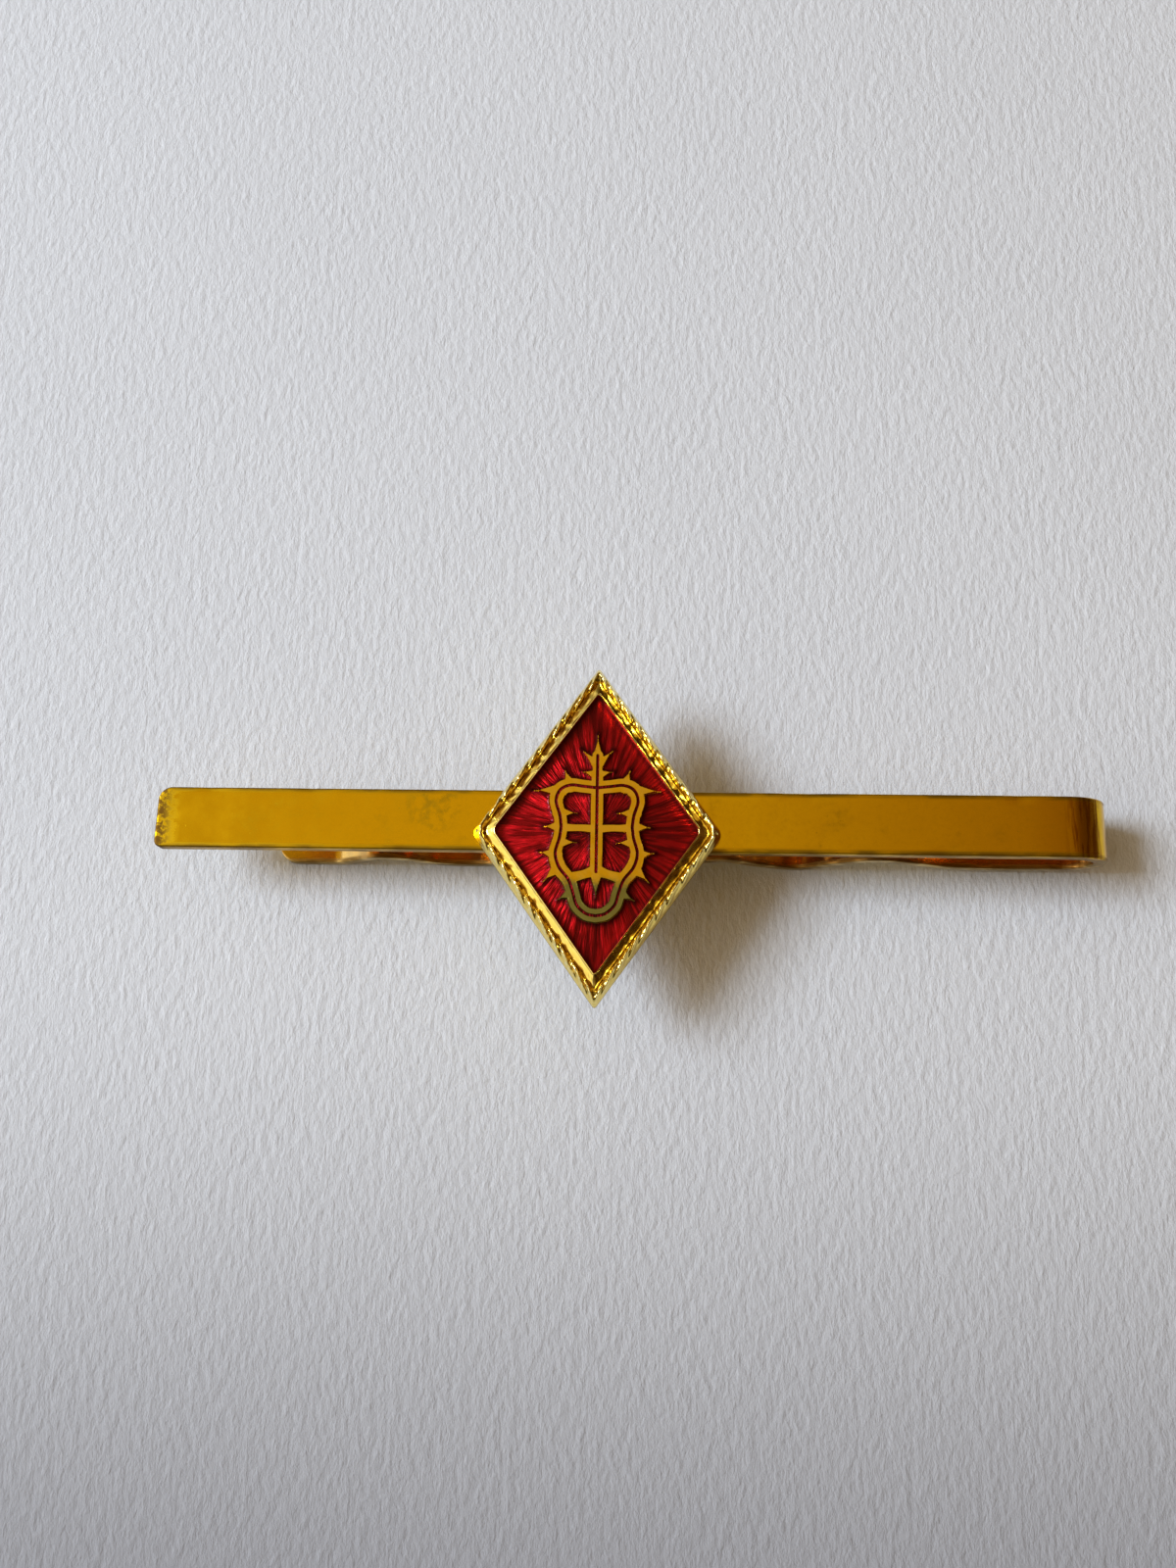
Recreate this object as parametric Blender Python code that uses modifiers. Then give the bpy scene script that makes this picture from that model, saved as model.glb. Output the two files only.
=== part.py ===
"""Gold-plated tie bar: a folded spring strip that carries an enamelled diamond emblem.

Frame: X runs along the bar towards the fold, Y across it, Z up out of the emblem's face.
The origin is under the middle of the whole piece, at the height of the leg's lowest underside.
Lengths are in millimetres until a finished mesh is scaled to metres.
"""
import math

import bmesh
import bpy
import numpy as np
from mathutils import Matrix

# ---------------------------------------------------------------- driving dimensions (mm)
LENGTH = 62.0               # overall, free end to the outside of the fold
STRIP_WIDTH = 4.0
BAR_THICKNESS = 1.0
LEG_THICKNESS = 0.7
FOLD_RUN = 2.9              # how far the fold reaches past the straight bar
FOLD_HEIGHT = 4.9           # bar face to leg underside, measured at the fold
REST_DEPTH = 5.8            # bar face to the undersides that touch a table
SEAM = 0.03                 # clearance kept at every soldered, fused or butted face
EDGE_ROUND = 0.12
BUTT_RADIUS = 0.02          # plan corners of the bar where it meets the fold
FOLD_STEPS = 25             # stations round the fold

BAR_OFFSET_Y = 0.95         # the bar crosses the emblem a little above its middle
END_SLANT = 0.08            # the free end is cut slightly off square
END_RADIUS_REAR = 0.9
END_RADIUS_FRONT = 0.45

EMBLEM_X = -2.2
EMBLEM_HALF_WIDTH = 8.1
EMBLEM_HALF_HEIGHT = 11.15
FIELD_RATIO = 0.812         # enamelled field to outer diamond
SIDE_CORNER_RADIUS = 0.7
TIP_CORNER_RADIUS = 0.15
TRAY_FLOOR = 0.5
BORDER_RISE = 1.6           # border top above the bar face
BORDER_BEVEL = 0.3
ENAMEL_RISE = 1.08
ORNAMENT_RISE = 1.25
SOLDER_LEG = 0.45           # size of the fillet's two short sides
SOLDER_RUN = 8.0            # its length along the bar

# ---------------------------------------------------------------- derived heights and places (mm)
BAR_TOP = REST_DEPTH
BAR_BOTTOM = BAR_TOP - BAR_THICKNESS
HALF_LENGTH = LENGTH / 2
HALF_STRIP = STRIP_WIDTH / 2
FOLD_X = HALF_LENGTH - FOLD_RUN
EMBLEM_BOTTOM = BAR_TOP + SEAM
FLOOR_TOP = EMBLEM_BOTTOM + TRAY_FLOOR
ENAMEL_BOTTOM = FLOOR_TOP + SEAM

# Stations of the spring leg: place along the bar, and depth of its upper face below the bar face.
# Crests press the cloth against the bar; troughs and the flat tip carry the clasp on a table.
TROUGH_DEPTH = REST_DEPTH - LEG_THICKNESS
FOLD_DEPTH = FOLD_HEIGHT - LEG_THICKNESS
LEG_STATIONS = (
    (-24.0, TROUGH_DEPTH), (-20.2, TROUGH_DEPTH), (-18.5, 4.05), (-17.0, 2.95), (-15.2, 3.3),
    (-13.0, 4.7), (-10.9, TROUGH_DEPTH), (-8.6, 4.3), (-5.0, 2.6), (-2.6, 3.5),
    (0.6, 4.9), (3.6, 3.8), (6.0, 2.45), (8.6, 4.05), (11.2, TROUGH_DEPTH),
    (13.4, 3.3), (16.1, 1.95), (18.4, 2.75), (21.4, 4.05), (24.8, 4.4), (FOLD_X - SEAM, FOLD_DEPTH),
)
LEG_STEP = 0.55
LEG_TIP_RADIUS = 1.3

# The raised ornament's right half, about the emblem's centre. A band is a list of stations
# (x, y, radius) that a smooth line passes through; a thorn runs straight from its root to its
# point: root x, y, point x, y, root radius.
ORNAMENT_BANDS = (
    ((0.0, 5.0, 0.42), (0.0, 4.3, 0.37), (0.0, 3.0, 0.46), (0.0, 0.0, 0.46), (0.0, -2.6, 0.46)),
    ((0.0, 2.85, 0.5), (0.9, 2.95, 0.5), (1.7, 3.02, 0.52), (2.35, 2.72, 0.54),
     (2.62, 2.0, 0.5), (2.36, 1.05, 0.48), (2.26, 0.3, 0.5)),
    ((2.26, 0.3, 0.5), (2.36, -0.45, 0.48), (2.6, -1.4, 0.5), (2.36, -2.3, 0.54), (1.75, -3.1, 0.5),
     (1.45, -3.9, 0.48), (1.2, -4.7, 0.48), (0.62, -5.25, 0.49), (0.0, -5.4, 0.49)),
    ((0.0, 0.15, 0.34), (0.9, 0.22, 0.3), (1.5, 0.22, 0.3), (2.3, 0.25, 0.36)),
    ((0.0, -2.5, 0.46), (0.7, -2.75, 0.36), (1.4, -2.95, 0.4), (1.8, -3.05, 0.44)),
)
ORNAMENT_THORNS = (
    (0.0, 4.7, 0.0, 6.42, 0.44), (0.0, 4.35, 1.05, 5.42, 0.42), (0.0, 3.72, 1.05, 3.95, 0.42),
    (2.3, 2.7, 4.05, 2.66, 0.52), (1.72, 2.95, 2.12, 4.1, 0.5), (2.25, 0.3, 3.5, 0.3, 0.5),
    (2.55, -1.5, 3.7, -1.35, 0.49), (2.35, -2.3, 3.35, -3.25, 0.52), (1.45, -3.9, 2.42, -4.4, 0.47),
    (2.45, 1.2, 1.22, 1.2, 0.48), (2.45, -0.72, 1.22, -0.72, 0.48), (0.0, -2.6, 0.0, -4.25, 0.5),
)
THORN_TAPER = 1.15          # above 1 hollows a thorn's flanks
THORN_POINT = 0.03
SMALLEST_OPENING = 0.5      # outlines narrower than this are crumbs at the thorns' points
ORNAMENT_GRID_STEP = 0.1
ORNAMENT_REACH = (4.6, 7.0)
OUTLINE_TOLERANCE = 0.012

GOLD = (0.60, 0.36, 0.05)
PALE_GOLD = (0.72, 0.50, 0.12)
RED_ENAMEL = (0.42, 0.004, 0.012)
SOLDER = (0.45, 0.36, 0.20)


def clear_scene():
    """Remove every object, so that the model starts from nothing."""
    for item in list(bpy.data.objects):
        bpy.data.objects.remove(item, do_unlink=True)


def make_finish(name, colour, roughness, metallic):
    """Return a Principled material with one colour, roughness and metallic value."""
    finish = bpy.data.materials.new(name)
    finish.use_nodes = True
    shader = finish.node_tree.nodes["Principled BSDF"]
    shader.inputs["Base Color"].default_value = (*colour, 1.0)
    shader.inputs["Roughness"].default_value = roughness
    shader.inputs["Metallic"].default_value = metallic
    return finish


def place_mesh(name, mesh, finish, collection, location=(0.0, 0.0, 0.0)):
    """Scale a millimetre mesh to metres and add it as a named object."""
    mesh.transform(Matrix.Scale(0.001, 4))
    mesh.materials.clear()
    mesh.materials.append(finish)
    item = bpy.data.objects.new(name, mesh)
    item.location = [value * 0.001 for value in location]
    collection.objects.link(item)
    return item


def round_edges(item, width, segments=1, angle=30.0):
    """Round the sharp edges of an object with a Bevel modifier."""
    bevel = item.modifiers.new("edge_round", "BEVEL")
    bevel.width = width * 0.001
    bevel.segments = segments
    bevel.limit_method = "ANGLE"
    bevel.angle_limit = math.radians(angle)
    item.data.shade_smooth()
    item.data.set_sharp_from_angle(angle=math.radians(angle))


def weld(mesh):
    """Join the loose caps of a filled curve to its walls."""
    shape = bmesh.new()
    shape.from_mesh(mesh)
    bmesh.ops.remove_doubles(shape, verts=shape.verts, dist=1e-5)
    bmesh.ops.recalc_face_normals(shape, faces=shape.faces)
    shape.to_mesh(mesh)
    shape.free()


def outline_solid(loops, thickness, upright=False):
    """Return the mesh of a flat outline, with holes, given its thickness about its own plane.

    An upright solid has its outline in the XZ plane and its thickness along Y.
    """
    curve = bpy.data.curves.new("outline", "CURVE")
    curve.dimensions = "2D"
    curve.fill_mode = "BOTH"
    curve.extrude = thickness / 2
    for loop in loops:
        spline = curve.splines.new("POLY")
        spline.points.add(len(loop) - 1)
        for point, (across, along) in zip(spline.points, loop):
            point.co = (across, along, 0.0, 1.0)
        spline.use_cyclic_u = True
    carrier = bpy.data.objects.new("outline", curve)
    bpy.context.scene.collection.objects.link(carrier)
    bpy.context.view_layer.update()
    mesh = bpy.data.meshes.new_from_object(carrier.evaluated_get(bpy.context.evaluated_depsgraph_get()))
    bpy.data.objects.remove(carrier, do_unlink=True)
    weld(mesh)
    if upright:
        mesh.transform(Matrix.Rotation(math.radians(90.0), 4, "X"))
    return mesh


def rounded_polygon(corners, radii, steps=5):
    """Return a polygon's outline with each corner turned into an arc of its own radius."""
    points = []
    count = len(corners)
    for index, (corner, radius) in enumerate(zip(corners, radii)):
        here = np.array(corner)
        back = np.array(corners[index - 1]) - here
        ahead = np.array(corners[(index + 1) % count]) - here
        back /= np.linalg.norm(back)
        ahead /= np.linalg.norm(ahead)
        half_angle = math.acos(float(np.dot(back, ahead))) / 2
        centre = here + (back + ahead) / np.linalg.norm(back + ahead) * radius / math.sin(half_angle)
        start = here + back * radius / math.tan(half_angle) - centre
        finish = here + ahead * radius / math.tan(half_angle) - centre
        sweep = math.pi - 2 * half_angle
        for step in range(steps + 1):
            share = step / steps
            blend = start * math.sin((1 - share) * sweep) + finish * math.sin(share * sweep)
            points.append(tuple(centre + blend / math.sin(sweep)))
    return points


def diamond(scale=1.0, shrink=0.0):
    """Return the emblem's diamond outline about its centre, scaled, then moved in by shrink."""
    wide = EMBLEM_HALF_WIDTH * scale
    tall = EMBLEM_HALF_HEIGHT * scale
    inset = shrink * math.hypot(wide, tall)
    wide, tall = wide - inset / tall, tall - inset / wide
    side = SIDE_CORNER_RADIUS * scale
    tip = TIP_CORNER_RADIUS * scale
    corners = ((wide, 0.0), (0.0, tall), (-wide, 0.0), (0.0, -tall))
    return rounded_polygon(corners, (side, tip, side, tip), steps=3)


def smooth_band(stations, steps=4):
    """Return points on the smooth line through a band's stations."""
    known = np.array(stations)
    padded = np.vstack((2 * known[0] - known[1], known, 2 * known[-1] - known[-2]))
    points = []
    for before, start, end, after in zip(padded, padded[1:], padded[2:], padded[3:]):
        for t in np.arange(steps) / steps:
            bend = 2 * before - 5 * start + 4 * end - after
            twist = 3 * start - before - 3 * end + after
            points.append(start + ((end - before) * t + bend * t**2 + twist * t**3) / 2)
    points.append(known[-1])
    return points


def thorn_line(thorn, steps=4):
    """Return points down a thorn, from its root to its point."""
    root_x, root_y, point_x, point_y, radius = thorn
    points = []
    for t in np.linspace(0.0, 1.0, steps + 1):
        thickness = max(radius * (1 - t)**THORN_TAPER, THORN_POINT)
        points.append((root_x + (point_x - root_x) * t, root_y + (point_y - root_y) * t, thickness))
    return points


def ornament_distance(x, y):
    """Return how far points lie outside the ornament's gold, in millimetres (negative inside)."""
    lines = [smooth_band(band) for band in ORNAMENT_BANDS]
    lines += [thorn_line(thorn) for thorn in ORNAMENT_THORNS]
    mirrored = np.abs(x)
    nearest = np.full(np.shape(x), np.inf)
    for line in lines:
        for (start_x, start_y, start_radius), (end_x, end_y, end_radius) in zip(line, line[1:]):
            run_x, run_y = end_x - start_x, end_y - start_y
            share = ((mirrored - start_x) * run_x + (y - start_y) * run_y) / (run_x**2 + run_y**2)
            share = np.clip(share, 0.0, 1.0)
            gap = np.hypot(mirrored - start_x - share * run_x, y - start_y - share * run_y)
            nearest = np.minimum(nearest, gap - start_radius - share * (end_radius - start_radius))
    return nearest


def trace_outlines(distance, level):
    """Return the closed outlines where a distance function equals level, largest first."""
    reach_x, reach_y = ORNAMENT_REACH
    xs = np.arange(-reach_x, reach_x, ORNAMENT_GRID_STEP)
    ys = np.arange(-reach_y, reach_y, ORNAMENT_GRID_STEP)
    grid_x, grid_y = np.meshgrid(xs, ys, indexing="ij")
    field = distance(grid_x, grid_y) - level
    following = {}
    for i, j in np.argwhere(np.abs(field[:-1, :-1]) < 3 * ORNAMENT_GRID_STEP):
        ring = ((i, j), (i + 1, j), (i + 1, j + 1), (i, j + 1))
        inside = [field[node] < 0 for node in ring]
        leaving = [k for k in range(4) if inside[k] and not inside[(k + 1) % 4]]
        entering = [k for k in range(4) if not inside[k] and inside[(k + 1) % 4]]
        for k, m in zip(leaving, entering):
            following[frozenset((ring[k], ring[(k + 1) % 4]))] = frozenset((ring[m], ring[(m + 1) % 4]))

    def crossing(edge):
        low, high = sorted(edge)
        share = field[low] / (field[low] - field[high])
        return (xs[low[0]] + share * (xs[high[0]] - xs[low[0]]), ys[low[1]] + share * (ys[high[1]] - ys[low[1]]))

    loops = []
    while following:
        edge = next(iter(following))
        loop = []
        while edge in following:
            loop.append(crossing(edge))
            edge = following.pop(edge)
        outline = np.array(loop)
        if np.ptp(outline, axis=0).min() > SMALLEST_OPENING:
            loops.append(thin_outline(outline))
    return sorted(loops, key=lambda loop: -np.ptp(loop[:, 0]) * np.ptp(loop[:, 1]))


def thin_outline(loop):
    """Drop the points of a closed outline that its neighbours already describe."""
    def keep(first, last):
        run = loop[last] - loop[first]
        span = loop[first + 1:last] - loop[first]
        if len(span) == 0:
            return []
        offsets = np.abs(run[0] * span[:, 1] - run[1] * span[:, 0]) / np.hypot(*run)
        worst = int(np.argmax(offsets))
        if offsets[worst] < OUTLINE_TOLERANCE:
            return []
        middle = first + 1 + worst
        return keep(first, middle) + [middle] + keep(middle, last)

    half = len(loop) // 2
    chosen = [0] + keep(0, half) + [half] + keep(half, len(loop) - 1) + [len(loop) - 1]
    return loop[chosen]


def leg_route():
    """Return stations (x, depth) along the spring leg, on a smooth curve through LEG_STATIONS."""
    xs, depths = np.array(LEG_STATIONS).T
    slopes = np.diff(depths) / np.diff(xs)
    turns = np.zeros(len(xs))
    same_way = slopes[:-1] * slopes[1:] > 0
    harmonic = 2 * slopes[:-1] * slopes[1:] / np.where(same_way, slopes[:-1] + slopes[1:], 1.0)
    turns[1:-1] = np.where(same_way, harmonic, 0.0)
    route = []
    for k in range(len(xs) - 1):
        run = xs[k + 1] - xs[k]
        steps = max(2, round(run / LEG_STEP))
        for t in np.arange(steps) / steps:
            depth = depths[k] * (1 + 2 * t) * (1 - t)**2 + depths[k + 1] * t**2 * (3 - 2 * t)
            depth += run * t * (1 - t) * ((1 - t) * turns[k] - t * turns[k + 1])
            route.append((xs[k] + t * run, depth))
    route.append((xs[-1], depths[-1]))
    return route


def leg_half_width(x):
    """Return half the leg's width at x: the strip's own, drawn in round the tip's corners."""
    past_corner = LEG_STATIONS[0][0] + LEG_TIP_RADIUS - x
    if past_corner <= 0:
        return HALF_STRIP
    return HALF_STRIP - LEG_TIP_RADIUS + math.sqrt(max(LEG_TIP_RADIUS**2 - past_corner**2, 0.0))


def build_front_bar(finish, collection):
    """The straight front of the clasp, with its free end cut slightly off square."""
    corners = (
        (FOLD_X - SEAM, -HALF_STRIP), (FOLD_X - SEAM, HALF_STRIP),
        (-HALF_LENGTH + END_SLANT, HALF_STRIP), (-HALF_LENGTH, -HALF_STRIP),
    )
    outline = rounded_polygon(corners, (BUTT_RADIUS, BUTT_RADIUS, END_RADIUS_REAR, END_RADIUS_FRONT))
    mesh = outline_solid([outline], BAR_THICKNESS)
    middle = (BAR_TOP + BAR_BOTTOM) / 2
    bar = place_mesh("front_bar", mesh, finish, collection, (0.0, BAR_OFFSET_Y, middle))
    round_edges(bar, EDGE_ROUND, angle=60.0)


def build_fold(finish, collection):
    """The fold, thinning from the bar's thickness to the leg's; its two faces are half ellipses."""
    outer_rise = FOLD_HEIGHT / 2
    inner_rise = (FOLD_DEPTH - BAR_THICKNESS) / 2
    inner_run = FOLD_RUN - (BAR_THICKNESS + LEG_THICKNESS) / 2
    angles = np.linspace(math.pi / 2, -math.pi / 2, FOLD_STEPS)
    outer = [(FOLD_RUN * math.cos(a), outer_rise * (math.sin(a) - 1)) for a in angles]
    inner = [(inner_run * math.cos(a), inner_rise * (math.sin(a) - 1) - BAR_THICKNESS) for a in angles[::-1]]
    mesh = outline_solid([outer + inner], STRIP_WIDTH, upright=True)
    fold = place_mesh("fold_spring", mesh, finish, collection, (FOLD_X, BAR_OFFSET_Y, BAR_TOP))
    round_edges(fold, EDGE_ROUND, angle=60.0)


def build_leg(finish, collection, hinge):
    """The waved spring leg, a strip of even thickness that ends in a flat rounded tip."""
    shape = bmesh.new()
    pivot = hinge.location * 1000
    rows = []
    for x, depth in leg_route():
        height = BAR_TOP - depth - LEG_THICKNESS / 2
        half = leg_half_width(x)
        place = (x - pivot.x, height - pivot.z)
        rows.append([shape.verts.new((place[0], side * half, place[1])) for side in (-1, 1)])
    for low, high in zip(rows, rows[1:]):
        shape.faces.new((low[0], high[0], high[1], low[1]))
    mesh = bpy.data.meshes.new("spring_leg")
    shape.to_mesh(mesh)
    shape.free()
    leg = place_mesh("spring_leg", mesh, finish, collection)
    leg.parent = hinge
    solidify = leg.modifiers.new("strip", "SOLIDIFY")
    solidify.thickness = LEG_THICKNESS * 0.001
    solidify.offset = 0.0
    solidify.use_even_offset = True
    round_edges(leg, EDGE_ROUND, angle=50.0)


def build_emblem(gold, pale_gold, enamel, collection):
    """The diamond emblem: tray floor, raised border, ornament, and the enamel laid round it."""
    centre = (EMBLEM_X, 0.0)

    def layer(name, loops, bottom, top, finish):
        mesh = outline_solid(loops, top - bottom)
        return place_mesh(name, mesh, finish, collection, (*centre, (bottom + top) / 2))

    field = diamond(FIELD_RATIO)
    seated = diamond(FIELD_RATIO, shrink=SEAM)
    layer("emblem_plate", [seated], EMBLEM_BOTTOM, FLOOR_TOP, gold)
    border = layer("emblem_border", [diamond(), field], EMBLEM_BOTTOM, BAR_TOP + BORDER_RISE, pale_gold)
    round_edges(border, BORDER_BEVEL)

    gold_loops = trace_outlines(ornament_distance, 0.0)
    layer("ornament", gold_loops, ENAMEL_BOTTOM, BAR_TOP + ORNAMENT_RISE, pale_gold)
    silhouette, *cells = trace_outlines(ornament_distance, SEAM)
    layer("enamel_field", [seated, silhouette], ENAMEL_BOTTOM, BAR_TOP + ENAMEL_RISE, enamel)
    for number, cell in enumerate(cells, start=1):
        layer(f"enamel_cell_{number}", [cell], ENAMEL_BOTTOM, BAR_TOP + ENAMEL_RISE, enamel)


def build_solder(finish, collection):
    """Solder fillets in the corner between the bar's edges and the overhanging emblem back."""
    for name, side in (("solder_front", -1), ("solder_rear", 1)):
        edge = side * (HALF_STRIP + SEAM)
        corner = ((edge, 0.0), (edge + side * SOLDER_LEG, 0.0), (edge, -SOLDER_LEG))
        mesh = outline_solid([corner], SOLDER_RUN, upright=True)
        mesh.transform(Matrix.Rotation(math.radians(90.0), 4, "Z"))
        place_mesh(name, mesh, finish, collection, (EMBLEM_X, BAR_OFFSET_Y, EMBLEM_BOTTOM - SEAM))


def main():
    """Build every piece of the tie bar."""
    clear_scene()
    collection = bpy.data.collections.new("tie_bar")
    bpy.context.scene.collection.children.link(collection)
    gold = make_finish("gold_plate", GOLD, 0.28, 1.0)
    pale_gold = make_finish("bright_gold_plate", PALE_GOLD, 0.22, 1.0)
    enamel = make_finish("red_enamel", RED_ENAMEL, 0.12, 0.0)
    solder = make_finish("solder", SOLDER, 0.45, 1.0)

    hinge = bpy.data.objects.new("leg_hinge", None)
    hinge.location = (FOLD_X * 0.001, BAR_OFFSET_Y * 0.001, (BAR_TOP - FOLD_HEIGHT / 2) * 0.001)
    collection.objects.link(hinge)
    bpy.context.view_layer.update()

    build_front_bar(gold, collection)
    build_fold(gold, collection)
    build_leg(gold, collection, hinge)
    build_emblem(gold, pale_gold, enamel, collection)
    build_solder(solder, collection)


main()
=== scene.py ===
"""Looks of a gold-plated tie bar: a folded spring strip under an enamelled diamond emblem.

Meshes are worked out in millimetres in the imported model's own frame and scaled to metres once.
"""
import logging
import math
from abc import ABC, abstractmethod
from collections.abc import Callable
from dataclasses import dataclass
from enum import Enum

import bmesh
import bpy
import numpy as np
from mathutils import Matrix, Vector, geometry


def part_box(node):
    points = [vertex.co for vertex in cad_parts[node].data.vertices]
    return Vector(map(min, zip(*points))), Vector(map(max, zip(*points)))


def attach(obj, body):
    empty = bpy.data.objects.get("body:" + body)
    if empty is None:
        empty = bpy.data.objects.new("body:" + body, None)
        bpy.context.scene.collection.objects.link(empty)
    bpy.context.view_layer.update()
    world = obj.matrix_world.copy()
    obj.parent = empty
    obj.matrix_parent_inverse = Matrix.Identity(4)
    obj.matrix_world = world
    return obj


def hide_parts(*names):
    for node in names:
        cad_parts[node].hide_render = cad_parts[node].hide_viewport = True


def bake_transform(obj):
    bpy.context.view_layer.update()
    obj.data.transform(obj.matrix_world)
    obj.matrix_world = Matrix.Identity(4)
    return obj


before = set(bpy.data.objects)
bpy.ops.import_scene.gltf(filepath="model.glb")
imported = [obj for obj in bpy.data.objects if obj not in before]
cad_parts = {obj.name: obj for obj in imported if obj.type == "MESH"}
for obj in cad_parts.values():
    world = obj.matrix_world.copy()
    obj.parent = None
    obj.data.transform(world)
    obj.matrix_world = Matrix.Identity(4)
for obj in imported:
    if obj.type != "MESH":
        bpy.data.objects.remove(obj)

LOG = logging.getLogger("tie_bar")
MM = 0.001
WALL_DISTANCE = "wall_distance"
FAR_AWAY = 99.0
Point = tuple[float, float]
Triple = tuple[float, float, float]
Colour = tuple[float, float, float, float]
Outline = np.ndarray
Pieces = bpy.types.Object | list[bpy.types.Object]
HeightRule = Callable[[np.ndarray, np.ndarray], np.ndarray]


class Body(Enum):
    """The rigid bodies that pieces ride on."""

    BAR = "bar"
    LEG = "leg"


class Side(Enum):
    """Which edge of the bar a solder fillet follows, as its direction along Y."""

    FRONT = -1
    REAR = 1


class Slot(Enum):
    """The record's material slots."""

    GOLD = "gold_plate"
    BRIGHT_GOLD = "bright_gold_plate"
    ORNAMENT_GOLD = "ornament_gold"
    ENAMEL = "red_enamel"
    SOLDER = "solder"


# ------------------------------------------------------------------ shader building


class NodeSketch:
    """Short calls for placing and joining nodes in one node tree."""

    def __init__(self, tree: bpy.types.NodeTree) -> None:
        """Keep the tree that nodes are added to."""
        self.tree = tree

    def add(self, kind: str, **settings: object) -> bpy.types.Node:
        """Add a node.

        Args:
            kind: the node's type name.
            settings: attributes to set on it.

        Returns:
            The new node.
        """
        node = self.tree.nodes.new(kind)
        for name, value in settings.items():
            setattr(node, name, value)
        return node

    def feed(self, source: object, target: bpy.types.NodeSocket) -> None:
        """Link a socket, or set a plain value, into a target socket.

        Args:
            source: the socket or value.
            target: the input it goes to.
        """
        if isinstance(source, bpy.types.NodeSocket):
            self.tree.links.new(source, target)
        else:
            target.default_value = source

    def math(self, operation: str, *values: object, clamp: bool = False) -> bpy.types.NodeSocket:
        """Add a Math node over sockets or numbers.

        Args:
            operation: the node's operation.
            values: its inputs in order.
            clamp: True to keep the result within 0 to 1.

        Returns:
            The node's result.
        """
        node = self.add("ShaderNodeMath", operation=operation, use_clamp=clamp)
        for socket, value in zip(node.inputs, values):
            self.feed(value, socket)
        return node.outputs[0]

    def times(self, first: object, second: object) -> bpy.types.NodeSocket:
        """Return first multiplied by second."""
        return self.math("MULTIPLY", first, second)

    def plus(self, first: object, second: object) -> bpy.types.NodeSocket:
        """Return the sum of first and second."""
        return self.math("ADD", first, second)

    def minus(self, first: object, second: object) -> bpy.types.NodeSocket:
        """Return first less second."""
        return self.math("SUBTRACT", first, second)

    def larger(self, first: object, second: object) -> bpy.types.NodeSocket:
        """Return whichever of first and second is larger."""
        return self.math("MAXIMUM", first, second)

    def remap(self, value: object, low: float, high: float, start: float = 0.0,
              end: float = 1.0) -> bpy.types.NodeSocket:
        """Map a value smoothly from one range to another.

        Args:
            value: the socket or number to map.
            low: where the first range starts.
            high: where it ends.
            start: what low becomes.
            end: what high becomes.

        Returns:
            The mapped value, held at both ends.
        """
        node = self.add("ShaderNodeMapRange", interpolation_type="SMOOTHSTEP")
        for name, item in (("Value", value), ("From Min", low), ("From Max", high),
                           ("To Min", start), ("To Max", end)):
            self.feed(item, node.inputs[name])
        return node.outputs[0]

    def mix(self, factor: object, first: object, second: object) -> bpy.types.NodeSocket:
        """Mix two colours.

        Args:
            factor: 0 for the first, 1 for the second.
            first: a colour or socket.
            second: a colour or socket.

        Returns:
            The mixed colour.
        """
        node = self.add("ShaderNodeMix", data_type="RGBA")
        self.feed(factor, node.inputs[0])
        self.feed(first, node.inputs[6])
        self.feed(second, node.inputs[7])
        return node.outputs[2]

    def noise(self, vector: object, scale: object, detail: float = 3.0,
              roughness: float = 0.5) -> bpy.types.NodeSocket:
        """Add a Noise texture.

        Args:
            vector: where it is read.
            scale: how fine it is, per millimetre.
            detail: how many finer layers it has.
            roughness: how strong the finer layers are.

        Returns:
            The noise, from 0 to 1.
        """
        node = self.add("ShaderNodeTexNoise")
        self.feed(vector, node.inputs["Vector"])
        self.feed(scale, node.inputs["Scale"])
        node.inputs["Detail"].default_value = detail
        node.inputs["Roughness"].default_value = roughness
        return node.outputs[0]

    def stretched(self, vector: object, scale: Triple,
                  turn: float = 0.0) -> bpy.types.NodeSocket:
        """Scale a vector by a different amount along each axis, and turn it.

        Args:
            vector: the vector socket.
            scale: the factor along each axis.
            turn: the turn about Z, in radians.

        Returns:
            The changed vector.
        """
        node = self.add("ShaderNodeMapping", vector_type="POINT")
        self.feed(vector, node.inputs["Vector"])
        node.inputs["Rotation"].default_value = (0.0, 0.0, turn)
        node.inputs["Scale"].default_value = scale
        return node.outputs[0]

    def millimetres(self) -> bpy.types.NodeSocket:
        """Return the place on the piece in millimetres of the model's frame."""
        place = self.add("ShaderNodeTexCoord").outputs["Object"]
        return self.stretched(place, (1 / MM, 1 / MM, 1 / MM))

    def split(self, vector: object) -> bpy.types.bpy_prop_collection:
        """Split a vector.

        Args:
            vector: the vector socket.

        Returns:
            Its X, Y and Z sockets.
        """
        node = self.add("ShaderNodeSeparateXYZ")
        self.feed(vector, node.inputs[0])
        return node.outputs

    def bump(self, height: object, distance: float, strength: float,
             below: object = None) -> bpy.types.NodeSocket:
        """Bend the surface's normal by a height.

        Args:
            height: the height socket.
            distance: how many millimetres a height of 1 stands for.
            strength: how much of the bend is used, 0 to 1.
            below: a normal that is already bent, if any.

        Returns:
            The bent normal.
        """
        node = self.add("ShaderNodeBump")
        node.inputs["Strength"].default_value = strength
        node.inputs["Distance"].default_value = distance * MM
        self.feed(height, node.inputs["Height"])
        if below is not None:
            self.feed(below, node.inputs["Normal"])
        return node.outputs[0]


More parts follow.
